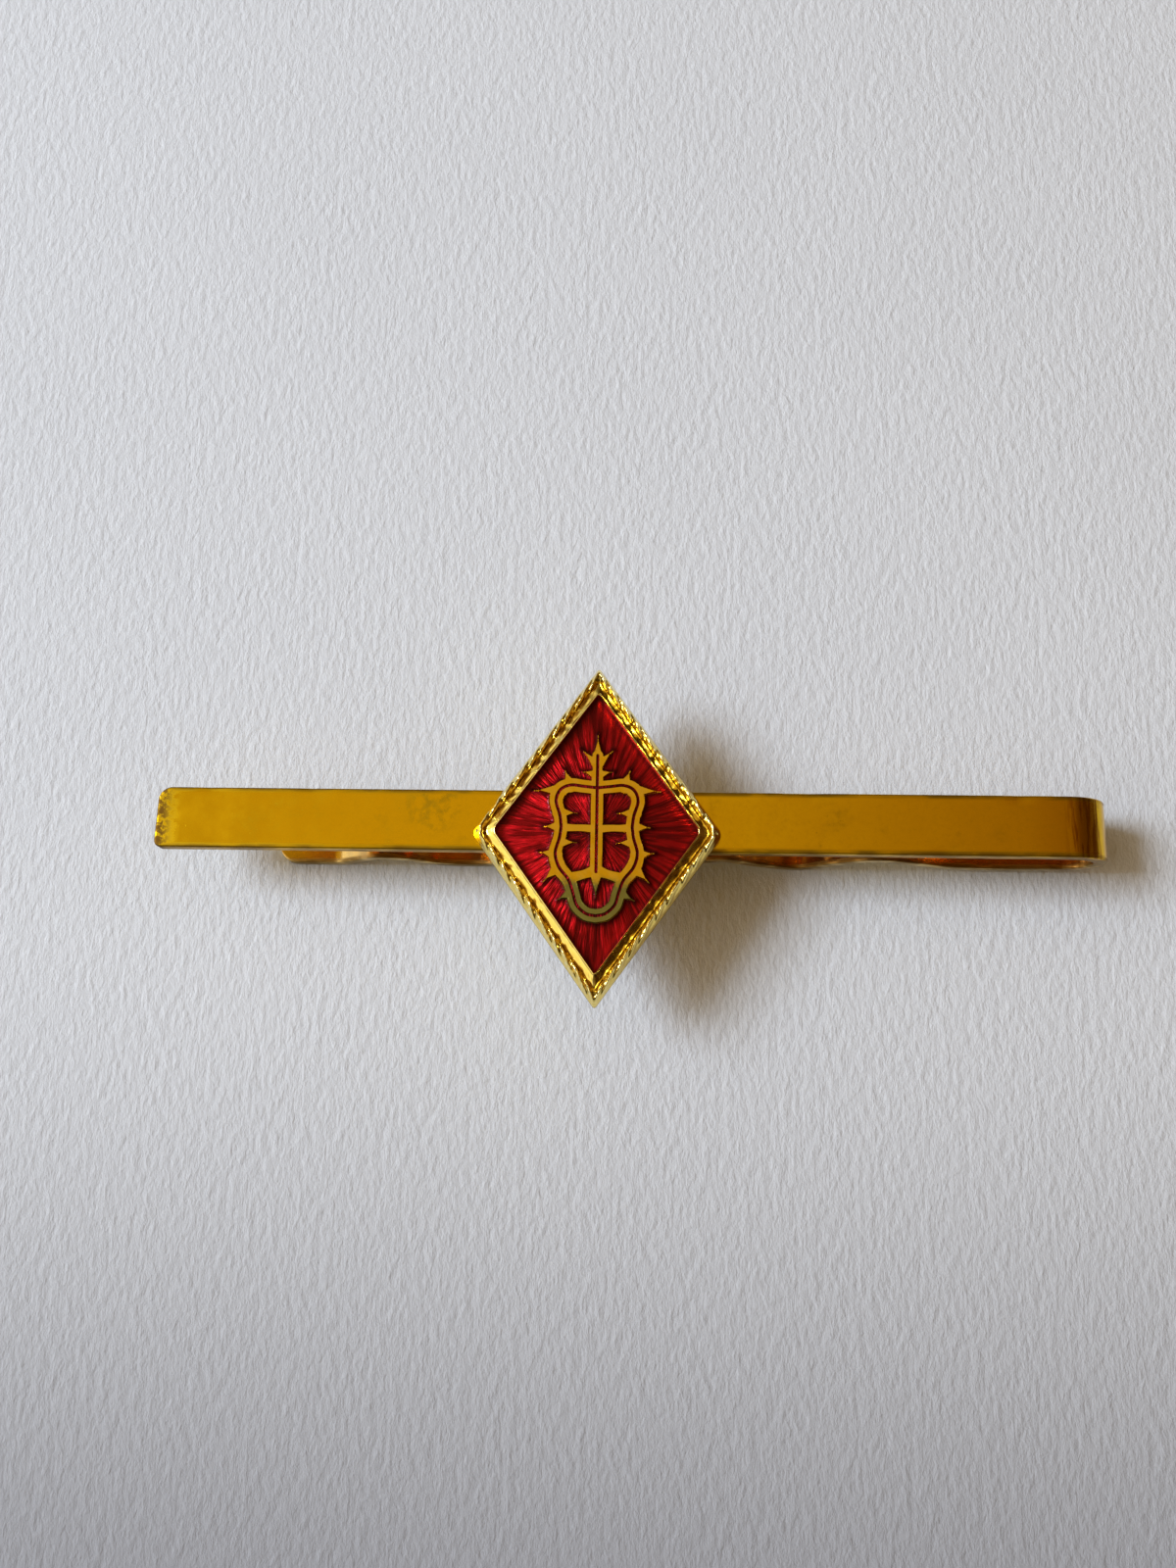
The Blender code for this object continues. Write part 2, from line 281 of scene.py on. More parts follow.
class EffectGroup:
    """A shared effect, kept as one shader node group that every finish can place."""

    def __init__(self, name: str, inputs: dict[str, tuple[str, float]], outputs: tuple[str, ...]) -> None:
        """Make the group and its sockets.

        Args:
            name: the group's name.
            inputs: socket name to (kind, default); kind is "Vector" or "Float".
            outputs: names of the value sockets it puts out.
        """
        self.tree = bpy.data.node_groups.new(name, "ShaderNodeTree")
        for label, (kind, default) in inputs.items():
            socket = self.tree.interface.new_socket(
                label, in_out="INPUT", socket_type=f"NodeSocket{kind}")
            if kind == "Float":
                socket.default_value = default
        for label in outputs:
            self.tree.interface.new_socket(label, in_out="OUTPUT", socket_type="NodeSocketFloat")
        self.sketch = NodeSketch(self.tree)
        self.given = self.tree.nodes.new("NodeGroupInput").outputs
        self.result = self.tree.nodes.new("NodeGroupOutput").inputs

    def place(self, sketch: NodeSketch, **values: object) -> bpy.types.bpy_prop_collection:
        """Put the group into a material.

        Args:
            sketch: the material's own tree.
            values: inputs by name, with underscores for spaces.

        Returns:
            The placed group's output sockets.
        """
        node = sketch.add("ShaderNodeGroup", node_tree=self.tree)
        for name, value in values.items():
            sketch.feed(value, node.inputs[name.replace("_", " ")])
        return node.outputs


def tarnish_group() -> EffectGroup:
    """Build the tarnish effect: soft blooms with small dark specks inside and round them.

    Returns:
        The group, with outputs Bloom and Specks.
    """
    group = EffectGroup("tarnish", {"Vector": ("Vector", 0.0), "Bloom Scale": ("Float", 0.4),
                                    "Coverage": ("Float", 0.4), "Speck Scale": ("Float", 6.0)},
                        ("Bloom", "Specks"))
    sketch, given = group.sketch, group.given
    cloud = sketch.noise(given["Vector"], given["Bloom Scale"], detail=6.0, roughness=0.65)
    edge = sketch.minus(0.78, sketch.times(given["Coverage"], 0.45))
    bloom = sketch.math("DIVIDE", sketch.minus(cloud, edge), 0.14, clamp=True)
    sketch.feed(bloom, group.result["Bloom"])
    grains = sketch.noise(given["Vector"], given["Speck Scale"], detail=2.0)
    rare = sketch.remap(grains, 0.70, 0.76)
    sketch.feed(sketch.times(rare, sketch.remap(cloud, 0.45, 0.62)), group.result["Specks"])
    return group


def hairline_group() -> EffectGroup:
    """Build the hairline effect: fine polishing lines along X and a few stray scratches.

    Returns:
        The group, with outputs Lines and Haze.
    """
    group = EffectGroup("hairlines", {"Vector": ("Vector", 0.0), "Fineness": ("Float", 9.0)},
                        ("Lines", "Haze"))
    sketch, given = group.sketch, group.given
    along = sketch.stretched(given["Vector"], (0.05, 1.0, 1.0))
    polish = sketch.noise(along, given["Fineness"], detail=3.0)
    stray_place = sketch.stretched(given["Vector"], (0.10, 1.6, 1.0), turn=0.45)
    stray = sketch.remap(sketch.noise(stray_place, 2.1, detail=1.0), 0.73, 0.78)
    sketch.feed(sketch.minus(polish, sketch.times(stray, 0.6)),
                group.result["Lines"])
    haze = sketch.noise(given["Vector"], 0.55, detail=4.0, roughness=0.6)
    sketch.feed(haze, group.result["Haze"])
    return group


def hollow_group() -> EffectGroup:
    """Build the hollow effect: a painted shade mask for places deep in carving, and a painted highlight mask
    for places that stand proud.

    Returns:
        The group, with the painted shade mask and the painted highlight mask as outputs.
    """
    group = EffectGroup("hollows_and_crests", {"Grime Reach": ("Float", 0.06),
                                               "Rub Reach": ("Float", 0.08)}, ("Grime", "Highlight"))
    sketch, given = group.sketch, group.given
    point = sketch.add("ShaderNodeNewGeometry").outputs["Pointiness"]
    # Painted shade mask: how concave a place is.
    below = sketch.minus(0.5, point)
    hollow_shade = sketch.math("DIVIDE", below, given["Grime Reach"], clamp=True)
    # Painted highlight mask: how convex a place is.
    above = sketch.minus(point, 0.5)
    crest_highlight = sketch.math("DIVIDE", above, given["Rub Reach"], clamp=True)
    sketch.feed(hollow_shade, group.result["Grime"])
    sketch.feed(crest_highlight, group.result["Highlight"])
    return group


def sunburst_group() -> EffectGroup:
    """Build the engraved sunburst: uneven rays that run out from the emblem's centre.

    Returns:
        The group, with outputs Rays (height) and Depth (pooled colour).
    """
    group = EffectGroup("sunburst", {"Vector": ("Vector", 0.0), "Rays": ("Float", 17.0),
                                     "Waver": ("Float", 0.35)}, ("Rays", "Depth"))
    sketch, given = group.sketch, group.given
    x, y, _ = sketch.split(given["Vector"])
    turn = sketch.math("ARCTAN2", y, x)
    reach = sketch.math("SQRT", sketch.plus(sketch.times(x, x),
                                            sketch.times(y, y)))
    polar = sketch.add("ShaderNodeCombineXYZ")
    sketch.feed(sketch.times(turn, given["Rays"]), polar.inputs[0])
    sketch.feed(sketch.times(reach, given["Waver"]), polar.inputs[1])
    cuts = sketch.noise(polar.outputs[0], 1.0, detail=2.0, roughness=0.55)
    rays = sketch.remap(cuts, 0.34, 0.66)
    sketch.feed(rays, group.result["Rays"])
    pool = sketch.noise(given["Vector"], 0.5, detail=3.0)
    depth = sketch.plus(sketch.times(rays, 0.7), sketch.times(pool, 0.5))
    sketch.feed(depth, group.result["Depth"])
    return group


@dataclass(frozen=True)
class Effects:
    """The shared effects, each built once."""

    tarnish: EffectGroup
    hairlines: EffectGroup
    hollows: EffectGroup
    sunburst: EffectGroup


def new_finish(name: str) -> tuple[bpy.types.Material, NodeSketch, bpy.types.Node]:
    """Start a material.

    Args:
        name: the material's name.

    Returns:
        The material, a sketch of its tree, and its Principled shader.
    """
    finish = bpy.data.materials.new(name)
    finish.use_nodes = True
    sketch = NodeSketch(finish.node_tree)
    return finish, sketch, finish.node_tree.nodes["Principled BSDF"]


@dataclass(frozen=True)
class StripGold:
    """Plating of the folded strip: satin-polished and stained at its free end; its edges darkened by stains
    and a painted dark reflection; the leg paler, a painted reflection of the floor, with painted shade on
    its upper face under the bar.
    """

    colour: Colour = (0.88, 0.555, 0.006, 1.0)
    warm: Colour = (0.78, 0.45, 0.005, 1.0)
    # Painted reflection of the white floor, used on the leg.
    pale: Colour = (0.95, 0.72, 0.27, 1.0)
    # Painted shade colour for the leg's upper face under the bar.
    under_bar_shade: Colour = (0.60, 0.25, 0.04, 1.0)
    pull_mark: Colour = (0.42, 0.15, 0.012, 1.0)
    # Colour of the stains, and of the painted dark reflection along the edges.
    stain_and_dark_reflection: Colour = (0.13, 0.062, 0.008, 1.0)
    roughness: float = 0.2
    scorch: Triple = (-12.9, 2.0, 5.8)

    def material(self, effects: Effects) -> bpy.types.Material:
        """Make the material.

        Args:
            effects: the shared effects it places.

        Returns:
            The finished material.
        """
        finish, sketch, shader = new_finish("strip_gold")
        bar_low, bar_high = node_box("front_bar")
        free_end, underside = float(bar_low[0]), float(bar_low[2])
        middle_y = float(bar_low[1] + bar_high[1]) / 2
        half_width = float(bar_high[1] - bar_low[1]) / 2
        fold_x = float(node_box("fold_spring")[0][0])
        place = sketch.millimetres()
        x, y, height = sketch.split(place)
        tarnish = effects.tarnish.place(sketch, Vector=place, Bloom_Scale=0.35, Coverage=0.55,
                                        Speck_Scale=4.5)
        hairlines = effects.hairlines.place(sketch, Vector=place, Fineness=10.0)
        near_end = sketch.remap(x, free_end + 0.35, free_end + 1.9, 1.0, 0.0)
        ragged = sketch.remap(sketch.noise(place, 2.2, detail=4.0, roughness=0.7), 0.32, 0.56)
        end_stain = sketch.times(near_end, ragged)
        # Stains and painted dark reflection: the strip darkens along its long edges, partly from stains and
        # partly for the dark surroundings that the rounded edges reflect.
        off_middle = sketch.math("ABSOLUTE", sketch.minus(y, middle_y))
        at_edge = sketch.remap(off_middle, half_width - 0.40, half_width - 0.16)
        patchy = sketch.remap(sketch.noise(sketch.stretched(place, (0.35, 1.0, 1.0)), 1.1, detail=4.0),
                              0.34, 0.6, 0.35, 1.0)
        edge_stain_and_dark_reflection = sketch.times(at_edge, patchy)
        away = sketch.add("ShaderNodeVectorMath", operation="DISTANCE")
        sketch.feed(place, away.inputs[0])
        away.inputs[1].default_value = self.scorch
        blot = sketch.remap(sketch.noise(place, 1.7, detail=5.0, roughness=0.68), 0.42, 0.62)
        scorched = sketch.times(sketch.remap(away.outputs["Value"], 0.8, 2.6, 0.5, 0.0), blot)
        stain_and_dark_reflection = sketch.larger(end_stain, sketch.times(edge_stain_and_dark_reflection, 0.8))
        stain_and_dark_reflection = sketch.larger(stain_and_dark_reflection, sketch.times(tarnish["Specks"], 0.7))
        mottle = sketch.remap(sketch.noise(place, 2.6, detail=6.0, roughness=0.7), 0.42, 0.72)
        stain_and_dark_reflection = sketch.larger(stain_and_dark_reflection, scorched)
        clouded = sketch.math("MULTIPLY_ADD", mottle, 0.22, 0.12)
        stain_and_dark_reflection = sketch.larger(stain_and_dark_reflection, sketch.times(tarnish["Bloom"], clouded))
        stain_and_dark_reflection = sketch.larger(stain_and_dark_reflection, sketch.times(mottle, 0.09))
        plating = sketch.mix(hairlines["Haze"], self.colour, self.warm)
        # Painted reflection: the leg below the bar's underside is made a paler gold for the white floor it
        # reflects.
        on_leg = sketch.remap(height, underside - 0.5, underside, 1.0, 0.0)
        plating = sketch.mix(on_leg, plating, self.pale)
        # Painted shade: the leg's upward faces under the bar are mixed towards a dark reddish gold, up to a
        # quarter near the tip and up to three quarters from x = -17 on.
        facing_up = sketch.split(sketch.add("ShaderNodeNewGeometry").outputs["Normal"])[2]
        inside = sketch.times(on_leg, sketch.remap(facing_up, 0.2, 0.8))
        inside = sketch.times(inside, sketch.remap(x, -19.0, -17.0, 0.25, 0.75))
        plating = sketch.mix(inside, plating, self.under_bar_shade)
        pulled = sketch.noise(sketch.stretched(place, (1.0, 0.10, 0.6)), 4.2, detail=3.0)
        on_fold = sketch.remap(x, fold_x - 0.6, fold_x + 0.5)
        past_fold = sketch.remap(x, fold_x + 2.0, fold_x + 2.5, 1.0, 0.0)
        marks = sketch.times(sketch.remap(pulled, 0.44, 0.58), on_fold)
        marks = sketch.times(sketch.times(marks, past_fold), 0.75)
        plating = sketch.mix(marks, plating, self.pull_mark)
        # The stain colour darkens the stains and the painted dark edge reflection alike.
        sketch.feed(sketch.mix(stain_and_dark_reflection, plating, self.stain_and_dark_reflection), shader.inputs["Base Color"])
        shader.inputs["Metallic"].default_value = 1.0
        haze = sketch.remap(hairlines["Haze"], 0.3, 0.7, self.roughness - 0.02, self.roughness + 0.03)
        rough = sketch.plus(haze, sketch.times(stain_and_dark_reflection, 0.3))
        sketch.feed(rough, shader.inputs["Roughness"])
        wavy = sketch.noise(place, 0.22, detail=1.0)
        normal = sketch.bump(wavy, 0.05, 0.35)
        normal = sketch.bump(hairlines["Lines"], 0.002, 0.35, normal)
        normal = sketch.bump(marks, -0.006, 0.6, normal)
        sketch.feed(sketch.bump(stain_and_dark_reflection, -0.004, 0.5, normal), shader.inputs["Normal"])
        return finish


@dataclass(frozen=True)
class CarvedGold:
    """Bright plating of the emblem's stamped metal, with painted shade in its hollows and painted highlights
    on its crests.
    """

    name: str = "carved_gold"
    colour: Colour = (0.95, 0.72, 0.16, 1.0)
    # Painted highlight colour for the crests.
    highlit_crests: Colour = (1.0, 0.87, 0.36, 1.0)
    # Painted shade colour for the hollows.
    hollow: Colour = (0.22, 0.09, 0.008, 1.0)
    verdigris: Colour = (0.10, 0.12, 0.035, 1.0)
    roughness: float = 0.16
    # Strength of the painted shade in the hollows.
    hollow_shade: float = 0.75
    verdigris_below: float = -FAR_AWAY
    pitting: float = 0.4
    # Strength of the painted highlight on the crests.
    crest_highlight: float = 1.0

    def material(self, effects: Effects) -> bpy.types.Material:
        """Make the material.

        Args:
            effects: the shared effects it places.

        Returns:
            The finished material.
        """
        finish, sketch, shader = new_finish(self.name)
        place = sketch.millimetres()
        _, y, _ = sketch.split(place)
        hollows = effects.hollows.place(sketch, Grime_Reach=0.07, Rub_Reach=0.08)
        tarnish = effects.tarnish.place(sketch, Vector=place, Bloom_Scale=1.1, Coverage=0.35,
                                        Speck_Scale=7.0)
        hairlines = effects.hairlines.place(sketch, Vector=place, Fineness=14.0)
        # Painted highlight: convex crests are lightened towards the crest colour.
        highlit_crests = sketch.times(hollows["Highlight"], self.crest_highlight)
        metal = sketch.mix(highlit_crests, self.colour, self.highlit_crests)
        # Painted shade: concave hollows are darkened towards the hollow colour; real tarnish specks are
        # added in.
        hollow_shade = sketch.times(hollows["Grime"], self.hollow_shade)
        hollow_shade = sketch.larger(hollow_shade, sketch.times(tarnish["Specks"], 0.6))
        metal = sketch.mix(hollow_shade, metal, self.hollow)
        ragged = sketch.times(sketch.noise(place, 1.6, detail=5.0, roughness=0.7), 1.6)
        low = sketch.remap(sketch.minus(y, ragged), self.verdigris_below - 1.3,
                           self.verdigris_below - 0.3, 1.0, 0.0)
        green = sketch.times(low, 0.85)
        sketch.feed(sketch.mix(green, metal, self.verdigris), shader.inputs["Base Color"])
        shader.inputs["Metallic"].default_value = 1.0
        rough = sketch.plus(sketch.times(hollow_shade, 0.25), self.roughness)
        rough = sketch.plus(rough, sketch.times(green, 0.3))
        sketch.feed(rough, shader.inputs["Roughness"])
        pits = sketch.noise(place, 5.0, detail=4.0, roughness=0.6)
        normal = sketch.bump(pits, 0.012, self.pitting)
        sketch.feed(sketch.bump(hairlines["Lines"], 0.002, 0.3, normal), shader.inputs["Normal"])
        return finish


@dataclass(frozen=True)
class RedEnamel:
    """Translucent red enamel over an engraved sunburst, with a glassy top and painted shade along the metal
    walls.
    """

    centre: Triple
    crest: Colour = (0.44, 0.004, 0.007, 1.0)
    pool: Colour = (0.15, 0.0006, 0.0015, 1.0)
    # Painted shade colour for the enamel next to the metal walls.
    deep: Colour = (0.05, 0.0003, 0.002, 1.0)
    roughness: float = 0.34
    swell: float = 0.014

    def material(self, effects: Effects) -> bpy.types.Material:
        """Make the material.

        Args:
            effects: the shared effects it places.

        Returns:
            The finished material.
        """
        finish, sketch, shader = new_finish("red_enamel_glaze")
        place = sketch.add("ShaderNodeVectorMath", operation="SUBTRACT")
        sketch.feed(sketch.millimetres(), place.inputs[0])
        place.inputs[1].default_value = self.centre
        about = place.outputs[0]
        rays = effects.sunburst.place(sketch, Vector=about)
        fine = effects.sunburst.place(sketch, Vector=about, Rays=41.0, Waver=0.6)
        shade = sketch.remap(rays["Depth"], 0.25, 1.0)
        colour = sketch.mix(shade, self.pool, self.crest)
        # Painted shade: the enamel is darkened within about 0.36 mm of the metal walls, where the walls
        # shade it.
        from_wall = sketch.add("ShaderNodeAttribute", attribute_name=WALL_DISTANCE).outputs["Fac"]
        wall_shade = sketch.remap(from_wall, 0.04, 0.36, 0.8, 0.0)
        sketch.feed(sketch.mix(wall_shade, colour, self.deep), shader.inputs["Base Color"])
        shader.inputs["Metallic"].default_value = 0.85
        shader.inputs["Specular IOR Level"].default_value = 0.1
        clouded = sketch.noise(about, 1.2, detail=3.0)
        sketch.feed(sketch.remap(clouded, 0.3, 0.7, self.roughness - 0.05, self.roughness + 0.1),
                    shader.inputs["Roughness"])
        left, up, _ = sketch.split(about)
        reach = sketch.plus(sketch.times(left, left), sketch.times(up, up))
        normal = sketch.bump(reach, -self.swell, 1.0)
        normal = sketch.bump(rays["Rays"], 0.042, 0.7, normal)
        normal = sketch.bump(fine["Rays"], 0.028, 0.5, normal)
        sketch.feed(normal, shader.inputs["Normal"])
        shader.inputs["Coat Weight"].default_value = 0.14
        shader.inputs["Coat Roughness"].default_value = 0.05
        shader.inputs["Coat IOR"].default_value = 1.5
        return finish


@dataclass(frozen=True)
class DullSolder:
    """Gold-washed solder, dull and a little lumpy."""

    colour: Colour = (0.50, 0.36, 0.13, 1.0)
    oxide: Colour = (0.16, 0.12, 0.07, 1.0)

    def material(self, effects: Effects) -> bpy.types.Material:
        """Make the material.

        Args:
            effects: the shared effects it places.

        Returns:
            The finished material.
        """
        finish, sketch, shader = new_finish("gold_washed_solder")
        place = sketch.millimetres()
        tarnish = effects.tarnish.place(sketch, Vector=place, Bloom_Scale=1.4, Coverage=0.7,
                                        Speck_Scale=6.0)
        sketch.feed(sketch.mix(tarnish["Bloom"], self.colour, self.oxide), shader.inputs["Base Color"])
        shader.inputs["Metallic"].default_value = 1.0
        sketch.feed(sketch.remap(tarnish["Bloom"], 0.0, 1.0, 0.38, 0.6), shader.inputs["Roughness"])
        lumps = sketch.noise(place, 2.5, detail=4.0)
        sketch.feed(sketch.bump(lumps, 0.06, 0.6), shader.inputs["Normal"])
        return finish


@dataclass(frozen=True)
class PaleBoard:
    """Plain pale floor with a faint tooth, darkened towards the front by painted shade."""

    colour: Colour = (0.74, 0.75, 0.775, 1.0)
    shade: Colour = (0.70, 0.71, 0.735, 1.0)
    # Painted shade colour for the front of the floor.
    front_shade: Colour = (0.30, 0.30, 0.325, 1.0)

    def material(self) -> bpy.types.Material:
        """Make the material.

        Returns:
            The finished material.
        """
        finish, sketch, shader = new_finish("pale_board")
        place = sketch.millimetres()
        tooth = sketch.noise(sketch.stretched(place, (1.0, 0.45, 1.0)), 1.9, detail=6.0, roughness=0.62)
        broad = sketch.noise(place, 0.05, detail=2.0)
        _, y, _ = sketch.split(place)
        # Painted shade: the floor darkens towards the front, where the light falls off.
        front_shade = sketch.remap(y, -60.0, -4.0, 1.0, 0.0)
        paper = sketch.mix(broad, self.colour, self.shade)
        sketch.feed(sketch.mix(front_shade, paper, self.front_shade), shader.inputs["Base Color"])
        shader.inputs["Roughness"].default_value = 0.85
        shader.inputs["Specular IOR Level"].default_value = 0.25
        sketch.feed(sketch.bump(tooth, 0.25, 0.7), shader.inputs["Normal"])
        return finish


# ------------------------------------------------------------------ mesh building


def node_box(node: str) -> tuple[np.ndarray, np.ndarray]:
    """Look up a CAD node's box.

    Args:
        node: the node's name.

    Returns:
        Its lowest and highest corners, in millimetres.
    """
    low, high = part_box(node)
    return np.array(low) / MM, np.array(high) / MM


def smoothstep(value: np.ndarray, low: float, high: float) -> np.ndarray:
    """Step smoothly from 0 to 1.

    Args:
        value: the values to step over.
        low: where the rise starts.
        high: where it ends.

    Returns:
        0 below low, 1 above high, and a smooth rise between.
    """
    share = np.clip((value - low) / (high - low), 0.0, 1.0)
    return share * share * (3 - 2 * share)


def add_piece(name: str, points: np.ndarray, faces: list[tuple[int, ...]],
              finish: bpy.types.Material, crease: float = 38.0) -> bpy.types.Object:
    """Make an object from millimetre points and faces.

    Args:
        name: the piece's name.
        points: an (n, 3) array of places in the model's frame.
        faces: vertex numbers of each face.
        finish: the material it is dressed in.
        crease: edges sharper than this angle, in degrees, stay crisp.

    Returns:
        The new object, shaded smooth, with its faces pointing out.
    """
    mesh = bpy.data.meshes.new(name)
    mesh.from_pydata((np.asarray(points) * MM).tolist(), [], faces)
    shape = bmesh.new()
    shape.from_mesh(mesh)
    bmesh.ops.recalc_face_normals(shape, faces=shape.faces)
    shape.to_mesh(mesh)
    shape.free()
    mesh.materials.append(finish)
    mesh.shade_smooth()
    mesh.set_sharp_from_angle(angle=math.radians(crease))
    piece = bpy.data.objects.new(name, mesh)
    bpy.context.scene.collection.objects.link(piece)
    return piece


def swept_piece(name: str, rings: list[np.ndarray], finish: bpy.types.Material) -> bpy.types.Object:
    """Join closed cross-sections into one piece and close both ends.

    Args:
        name: the piece's name.
        rings: (n, 3) arrays with the same number of points each.
        finish: the material it is dressed in.

    Returns:
        The new object.
    """
    columns = len(rings[0])
    faces = sheet_faces(len(rings), columns, ring_columns=True)
    faces.append(tuple(range(columns)))
    faces.append(tuple(range((len(rings) - 1) * columns, len(rings) * columns)))
    return add_piece(name, np.vstack(rings), faces, finish)


def sheet_faces(rows: int, columns: int, ring_rows: bool = False,
                ring_columns: bool = False) -> list[tuple[int, ...]]:
    """Return the quads that join a grid of points, numbered row by row.

    Args:
        rows: how many rows of points there are.
        columns: how many points a row has.
        ring_rows: True if the last row joins the first.
        ring_columns: True if a row's last point joins its first.

    Returns:
        Faces as tuples of four numbers.
    """
    faces = []
    for row in range(rows if ring_rows else rows - 1):
        upper = (row + 1) % rows
        for column in range(columns if ring_columns else columns - 1):
            right = (column + 1) % columns
            faces.append((row * columns + column, row * columns + right,
                          upper * columns + right, upper * columns + column))
    return faces


def trace_outlines(distance: HeightRule, level: float, reach: Point, step: float,
                   smallest: float = 0.3) -> list[Outline]:
    """Trace the closed lines where a distance rule equals a level.

    Args:
        distance: gives a value at each x, y in millimetres about the emblem's centre.
        level: the value to trace.
        reach: half the width and half the height of the area searched.
        step: spacing of the search grid.
        smallest: lines narrower than this are left out.

    Returns:
        One (n, 2) array for each line, the widest first, with the low side on its left.
    """
    xs = np.arange(-reach[0], reach[0], step)
    ys = np.arange(-reach[1], reach[1], step)
    field = distance(*np.meshgrid(xs, ys, indexing="ij")) - level
    field = np.where(np.abs(field) < 1e-9, 1e-9, field)
    low = field < 0
    corners = low[:-1, :-1].astype(int) + low[1:, :-1] + low[1:, 1:] + low[:-1, 1:]
    following = {}
    for i, j in np.argwhere((corners > 0) & (corners < 4)):
        ring = ((i, j), (i + 1, j), (i + 1, j + 1), (i, j + 1))
        inside = [low[node] for node in ring]
        leaving = [k for k in range(4) if inside[k] and not inside[(k + 1) % 4]]
        entering = [k for k in range(4) if not inside[k] and inside[(k + 1) % 4]]
        for k, m in zip(leaving, entering):
            start = tuple(sorted((ring[k], ring[(k + 1) % 4])))
            following[start] = tuple(sorted((ring[m], ring[(m + 1) % 4])))
    outlines = []
    while following:
        edge = next(iter(following))
        line = []
        while edge in following:
            first, second = edge
            share = field[first] / (field[first] - field[second])
            line.append((xs[first[0]] + share * (xs[second[0]] - xs[first[0]]),
                         ys[first[1]] + share * (ys[second[1]] - ys[first[1]])))
            edge = following.pop(edge)
        outline = np.array(line)
        if np.ptp(outline, axis=0).min() > smallest:
            outlines.append(outline)
    return sorted(outlines, key=lambda outline: -float(np.prod(np.ptp(outline, axis=0))))


def within(points: np.ndarray, outlines: list[Outline]) -> np.ndarray:
    """Tell which points lie inside closed lines.

    Args:
        points: an (n, 2) array.
        outlines: the closed lines.

    Returns:
        True for each point that lies inside an odd number of them.
    """
    crossings = np.zeros(len(points), dtype=int)
    x, y = points.T
    for outline in outlines:
        for (start_x, start_y), (end_x, end_y) in zip(outline, np.roll(outline, -1, axis=0)):
            if start_y == end_y:
                continue
            spans = (start_y > y) != (end_y > y)
            crossing_x = start_x + (y - start_y) / (end_y - start_y) * (end_x - start_x)
            crossings += spans & (x < crossing_x)
    return crossings % 2 == 1


def relief_solid(name: str, outlines: list[Outline], inner: np.ndarray, top: HeightRule, bottom: float,
                 centre: np.ndarray, finish: bpy.types.Material, crease: float = 38.0) -> bpy.types.Object:
    """Make a closed piece with upright walls, a flat bottom and a modelled top.

    Args:
        name: the piece's name.
        outlines: its outer line first, then the lines of its openings.
        inner: an (n, 2) array of places inside where the top is also measured.
        top: gives the top's height at each x, y.
        bottom: the bottom's height.
        centre: where x = y = 0 lies in the model's frame.
        finish: the material it is dressed in.
        crease: edges sharper than this angle, in degrees, stay crisp.

    Returns:
        The new object.
    """
    edges = []
    count = 0
    for outline in outlines:
        numbers = np.arange(count, count + len(outline))
        edges += list(zip(numbers.tolist(), np.roll(numbers, -1).tolist()))
        count += len(outline)
    plan = [Vector(point) for point in np.vstack([*outlines, inner]).tolist()]
    whole_hull = 0
    found, _, triangles, *_ = geometry.delaunay_2d_cdt(plan, edges, [], whole_hull, 1e-7, False)
    flat = np.array([tuple(point) for point in found])
    middles = flat[np.array(triangles)].mean(axis=1)
    triangles = [triangle for triangle, kept in zip(triangles, within(middles, outlines)) if kept]
    total = len(flat)
    heights = top(flat[:, 0], flat[:, 1])
    raised = np.column_stack([flat + centre[:2], heights])
    lowered = np.column_stack([flat + centre[:2], np.full(total, bottom)])
    used: dict[tuple[int, int], int] = {}
    faces: list[tuple[int, ...]] = []
    for triangle in triangles:
        faces.append(tuple(triangle))
        faces.append(tuple(number + total for number in reversed(triangle)))
        for start, end in zip(triangle, (*triangle[1:], triangle[0])):
            used[(start, end)] = used.get((start, end), 0) + 1
    for start, end in used:
        if (end, start) not in used:
            faces.append((end, start, start + total, end + total))
    kept = np.unique(np.concatenate([np.array(face) for face in faces]))
    renumber = {int(old): new for new, old in enumerate(kept)}
    faces = [tuple(renumber[int(number)] for number in face) for face in faces]
    return add_piece(name, np.vstack([raised, lowered])[kept], faces, finish, crease)


class SubAssembly(ABC):
    """A part of the clasp that builds its own pieces and then dresses them."""

    @abstractmethod
    def build(self) -> Pieces:
        """Make the meshes."""

    @abstractmethod
    def dress(self, built: Pieces) -> None:
        """Fix the pieces to their bodies and hide the solids that they stand for."""

    def make(self) -> None:
        """Build the pieces, dress them, and report each one."""
        built = self.build()
        self.dress(built)
        for piece in built if isinstance(built, list) else [built]:
            LOG.info("%s: %d faces", piece.name, len(piece.data.polygons))


# ------------------------------------------------------------------ the folded strip


